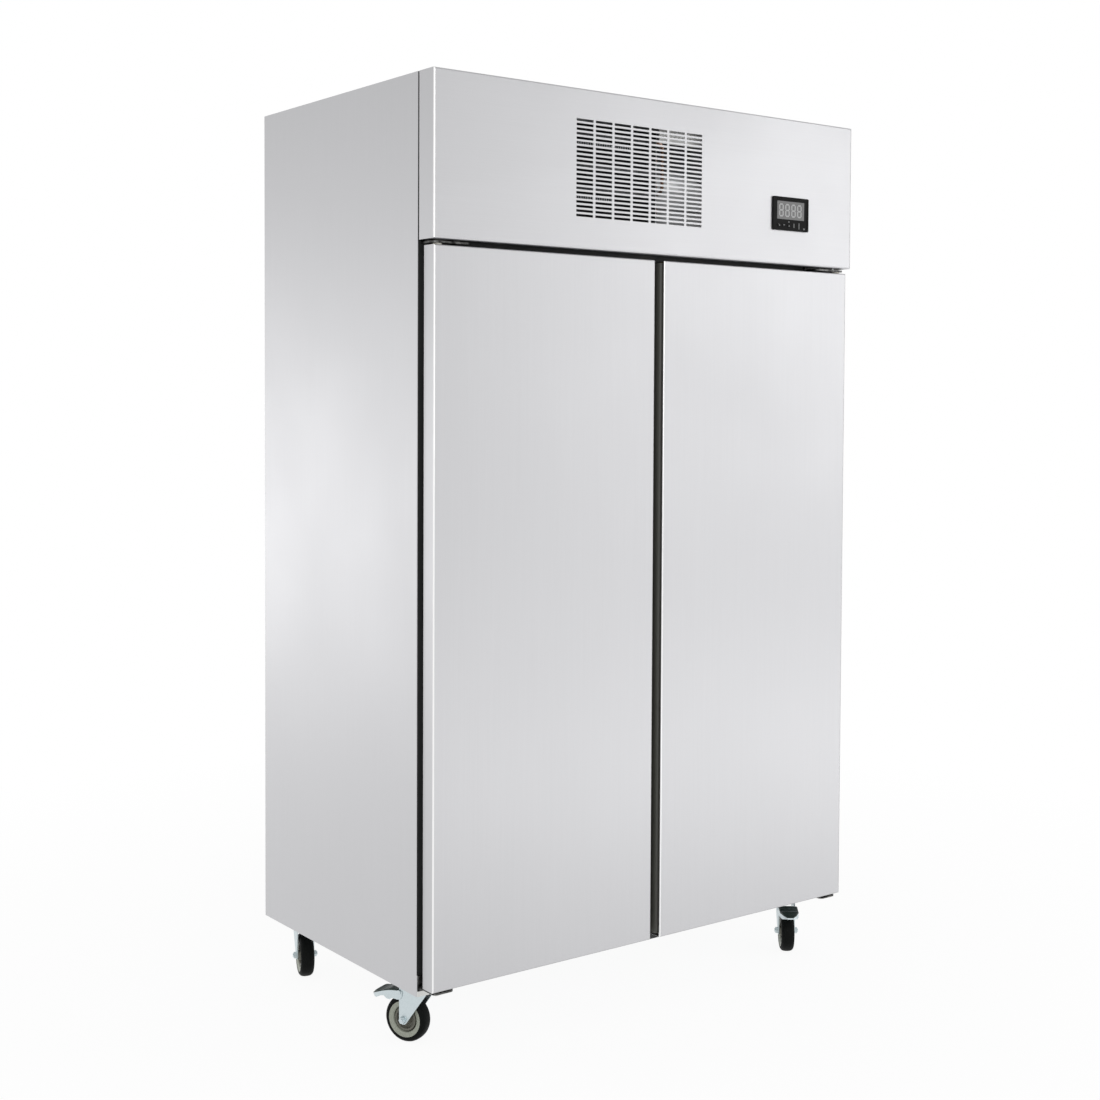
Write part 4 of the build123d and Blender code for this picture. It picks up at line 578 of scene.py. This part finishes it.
def printMarks(body, outlines, carrier, front):
    mesh = bmesh.new()
    low, high = boxOf(carrier)
    middle = (low + high) / 2
    for outline in outlines:
        placed = [(middle.x + x, middle.z + z) for x, z in outline]
        raisePlate(mesh, placed, 1, front, front - marks["depth"])
    finishPiece("marks_" + body, mesh, body, markInk, smooth=False)


for body in ("key_set", "key_down", "key_up"):
    printMarks(body, marks[body], body, boxOf(body)[0].y)
bezelOutlines = marks["bezel"] + [dotOutline(*dot) for dot in marks["dots"]]
printMarks("cabinet", bezelOutlines, "controller_case", windowLow.y)  # the window is flush with the bezel
print("key marks printed")

# Front row of condenser tubes, and the clinched tabs of the two tie strips that hold the fins.
# Levels are above the finned block's foot, in mm.
condenser = {
    "tubeRadius": 3.2, "tubeSunk": 1.0, "tubeInset": 1.0, "tubeRound": 0.6, "tubeSteps": 16,
    "tubeLevels": (213.0, 144.4, 95.3),
    "tabStart": 94.0,  # from the block's left end
    "tabPitch": 6.5, "tabSize": (3.4, 1.2, 4.2), "tabRound": 0.4,
    "tabRows": ((193.4, 24), (75.7, 16)),  # level, how many
}
low, high = boxOf("condenser_fins")
radius = condenser["tubeRadius"] * mm
length = (high.x - low.x - 2 * condenser["tubeInset"]) * mm
mesh = bmesh.new()
for level in condenser["tubeLevels"]:
    middle = Vector(((low.x + high.x) / 2, low.y + condenser["tubeSunk"], low.z + level)) * mm
    made = bmesh.ops.create_cone(
        mesh, cap_ends=True, segments=condenser["tubeSteps"], radius1=radius, radius2=radius, depth=length,
        matrix=Matrix.Translation(middle) @ Matrix.Rotation(math.pi / 2, 4, "Y"))
    fresh = set(made["verts"])
    rims = [e for e in mesh.edges if e.verts[0] in fresh and len({round(v.co.x, 6) for v in e.verts}) == 1]
    roundEdges(mesh, rims, condenser["tubeRound"])
# the tubes' finish carries a painted sheen
finishPiece("condenser_tubes", mesh, "cabinet", dippedTubePaintedSheen)
mesh = bmesh.new()
tabSize = Vector(condenser["tabSize"])
for level, count in condenser["tabRows"]:
    for step in range(count):
        x = low.x + condenser["tabStart"] + step * condenser["tabPitch"]
        at = Vector((x, low.y - tabSize.y / 2, low.z + level)) * mm
        bmesh.ops.create_cube(
            mesh, size=1.0, matrix=Matrix.Translation(at) @ Matrix.Diagonal((*(tabSize * mm), 1)))
roundEdges(mesh, mesh.edges[:], condenser["tabRound"], segments=1)
finishPiece("condenser_tabs", mesh, "cabinet", aluminiumFins)
print("condenser details set")

# Low dome-headed screws with a socket, on the back panel and the roof. Millimetres.
screw = {
    # distance from the sheet, and radius
    "profile": [(0.0, 0.0), (0.0, 4.2), (0.35, 4.1), (0.8, 3.3), (1.05, 2.1), (1.05, 1.5), (0.5, 1.2),
                (0.5, 0.0)],
    "steps": 16,
    "inset": 34.0,  # from the cabinet's sides, and on the roof from its back
    "middleX": 190.0,
    "backRise": 30.0, "backPitch": 355.0, "backCount": 5, "backDrop": 40.0,
    "roofStart": 70.0, "roofPitch": 270.0, "roofCount": 3,  # from the cabinet's back
}
low, high = boxOf("side_panel_right")
edgeX = high.x - screw["inset"]
levels = [low.z + screw["backRise"] + screw["backPitch"] * step for step in range(screw["backCount"])]
levels.append(high.z - screw["backDrop"])
rows = [high.y - screw["roofStart"] - screw["roofPitch"] * step for step in range(screw["roofCount"])]
backFace, roofFace = boxOf("back_panel")[1].y, boxOf("roof_panel")[1].z
faceBack, faceUp = Matrix.Rotation(math.pi / 2, 4, "Z"), Matrix.Rotation(-math.pi / 2, 4, "Y")
heads = []
for side in (-1, 1):
    heads += [((side * edgeX, backFace, level), faceBack) for level in levels]
    heads += [((side * screw["middleX"], backFace, level), faceBack) for level in (levels[0], levels[-1])]
    heads += [((side * edgeX, row, roofFace), faceUp) for row in rows]
    heads.append(((side * screw["middleX"], high.y - screw["inset"], roofFace), faceUp))
mesh = bmesh.new()
for at, facing in heads:
    turn(mesh, screw["profile"], Matrix.Translation(Vector(at) * mm) @ facing, screw["steps"])
finishPiece("panel_screws", mesh, "cabinet", zincSteel)
print("panel screws set")

# Camera: metres, degrees and the lens of a 36 mm wide frame, as fitted to the photograph
shot = {"place": (-2.387, -3.147, 1.357), "azimuth": 36.78, "down": 2.03, "roll": 0.27, "lens": 53.9,
        "frameWidth": 36.0, "shiftY": -0.0804}
azimuth, down, roll = [math.radians(shot[key]) for key in ("azimuth", "down", "roll")]
ahead = Vector((math.sin(azimuth) * math.cos(down), math.cos(azimuth) * math.cos(down), -math.sin(down)))
level = ahead.cross(Vector((0, 0, 1))).normalized()
upward = level.cross(ahead)
right = level * math.cos(roll) + upward * math.sin(roll)
top = upward * math.cos(roll) - level * math.sin(roll)
camera = bpy.data.objects.new("camera", bpy.data.cameras.new("camera"))
camera.data.lens = shot["lens"]
camera.data.sensor_width = shot["frameWidth"]
camera.data.shift_y = shot["shiftY"]
camera.matrix_world = Matrix.Translation(shot["place"]) @ Matrix(
    [[right[i], top[i], -ahead[i], 0] for i in range(3)] + [[0, 0, 0, 1]])
bpy.context.scene.collection.objects.link(camera)
bpy.context.scene.camera = camera
bpy.context.scene.view_settings.view_transform = "Standard"

# Lamps: metres, and the radiance that a mirror would show. The key and the fill light the doors and
# the header, the side panel lights the left side, the floor card lights the doors from below, and
# the bay panel lights what shows through the grille.
lamps = {
    "keyPanel": {
        "place": (3.9, -3.95, 2.25), "target": (0.4, -0.3, 1.3), "size": (1.4, 2.7), "radiance": 2.8},
    "sidePanel": {
        "place": (-3.15, 4.25, 0.85), "target": (-0.6, 0, 0.9), "size": (3.2, 1.6), "radiance": 1.38},
    "floorCard": {
        "place": (1.1, -1.25, 0.04), "target": (0.7, -0.3, 1.0), "size": (3.0, 1.3), "radiance": 0.6},
    "bayPanel": {
        "place": (0.16, -0.27, 1.985), "target": (0.2, -0.1, 1.75), "size": (0.2, 0.1), "radiance": 3.0},
    "fillPanel": {
        "place": (-3.4, -5.2, 2.3), "target": (0, 0, 0.9), "size": (2.0, 2.0), "radiance": 3.0},
}


def addLamp(name, place, target, size, radiance):  # an even rectangle of light
    data = bpy.data.lights.new(name, "AREA")
    data.shape = "RECTANGLE"
    data.size, data.size_y = size
    data.energy = radiance * math.pi * size[0] * size[1]
    lamp = bpy.data.objects.new(name, data)
    lamp.location = place
    lamp.rotation_euler = (Vector(target) - Vector(place)).to_track_quat("-Z", "Y").to_euler()
    lamp.visible_camera = False
    bpy.context.scene.collection.objects.link(lamp)


for name, facts in lamps.items():
    addLamp(name, **facts)

room = {
    "white": 1.0, "zenith": 0.72, "zenithRise": 0.5, "diffuse": 0.7,
    "floorSize": 40.0, "floorGlow": 0.92, "glowStart": 0.6, "glowEnd": 2.6,
    "floorTones": ("#F4F4F4", "#F7F7F7"), "mottleScale": 6.0, "mottleDetail": 2.0, "floorRoughness": 0.5,
}


def seenDirectly(tree):  # 1 for camera, mirror and glass rays
    rays = addNode(tree, "LightPath", {}).outputs
    first = mathNode(tree, "MAXIMUM", rays["Is Camera Ray"], rays["Is Glossy Ray"])
    return mathNode(tree, "MAXIMUM", first, rays["Is Transmission Ray"])


# Mirror rays find the room darker overhead, the camera finds it white, and the rest is even.
world = bpy.data.worlds.new("studio")
bpy.context.scene.world = world
world.use_nodes = True
tree = world.node_tree
sky = tree.nodes["Background"]
sky.inputs["Color"].default_value = (1, 1, 1, 1)
path = addNode(tree, "LightPath", {})
outward = addNode(tree, "SeparateXYZ", {}, {0: addNode(tree, "TexCoord", {}).outputs["Generated"]})
overhead = addNode(
    tree, "MapRange", {"From Max": room["zenithRise"], "To Min": room["white"], "To Max": room["zenith"]},
    {"Value": outward.outputs[2]})
mirrored = addNode(
    tree, "Mix", {"data_type": "FLOAT", 3: room["white"]},
    {0: path.outputs["Is Camera Ray"], 2: overhead.outputs[0]})
skyLevel = addNode(
    tree, "MapRange", {"To Min": room["diffuse"]},
    {"Value": seenDirectly(tree), "To Max": mirrored.outputs[0]})
tree.links.new(skyLevel.outputs[0], sky.inputs["Strength"])

# Painted white floor: it glows faintly for the camera, more so away from the object, so that it
# runs into the white backdrop and still keeps the object's shadow.
floorPaint = bpy.data.materials.new("whiteStudioPaint")
floorPaint.use_nodes = True
tree = floorPaint.node_tree
tree.nodes.remove(tree.nodes["Principled BSDF"])
place = addNode(tree, "TexCoord", {}).outputs["Object"]
mottle = addNode(
    tree, "TexNoise", {"Scale": room["mottleScale"], "Detail": room["mottleDetail"]}, {"Vector": place})
lower, upper = [linearColour(code) for code in room["floorTones"]]
paint = addNode(tree, "Mix", {"data_type": "RGBA", 6: lower, 7: upper}, {0: mottle.outputs[0]})
matt = addNode(tree, "BsdfDiffuse", {"Roughness": room["floorRoughness"]}, {"Color": paint.outputs[2]})
glow = addNode(tree, "Emission", {"Color": (1, 1, 1, 1), "Strength": 1.0})
distance = addNode(tree, "VectorMath", {"operation": "LENGTH"}, {0: place})
spread = addNode(
    tree, "MapRange", {"From Min": room["glowStart"], "From Max": room["glowEnd"],
                       "To Min": room["floorGlow"], "To Max": 1.0},
    {"Value": distance.outputs["Value"]})
share = mathNode(tree, "MULTIPLY", spread.outputs[0], seenDirectly(tree))
blended = addNode(tree, "MixShader", {}, {0: share, 1: matt.outputs[0], 2: glow.outputs[0]})
tree.links.new(blended.outputs[0], tree.nodes["Material Output"].inputs["Surface"])
mesh = bmesh.new()
bmesh.ops.create_grid(mesh, x_segments=2, y_segments=2, size=room["floorSize"] / 2)
floorData = bpy.data.meshes.new("studioFloor")
mesh.to_mesh(floorData)
mesh.free()
floorData.materials.append(floorPaint)
studioFloor = bpy.data.objects.new("studioFloor", floorData)
bpy.context.scene.collection.objects.link(studioFloor)
print("camera, lamps and floor set")
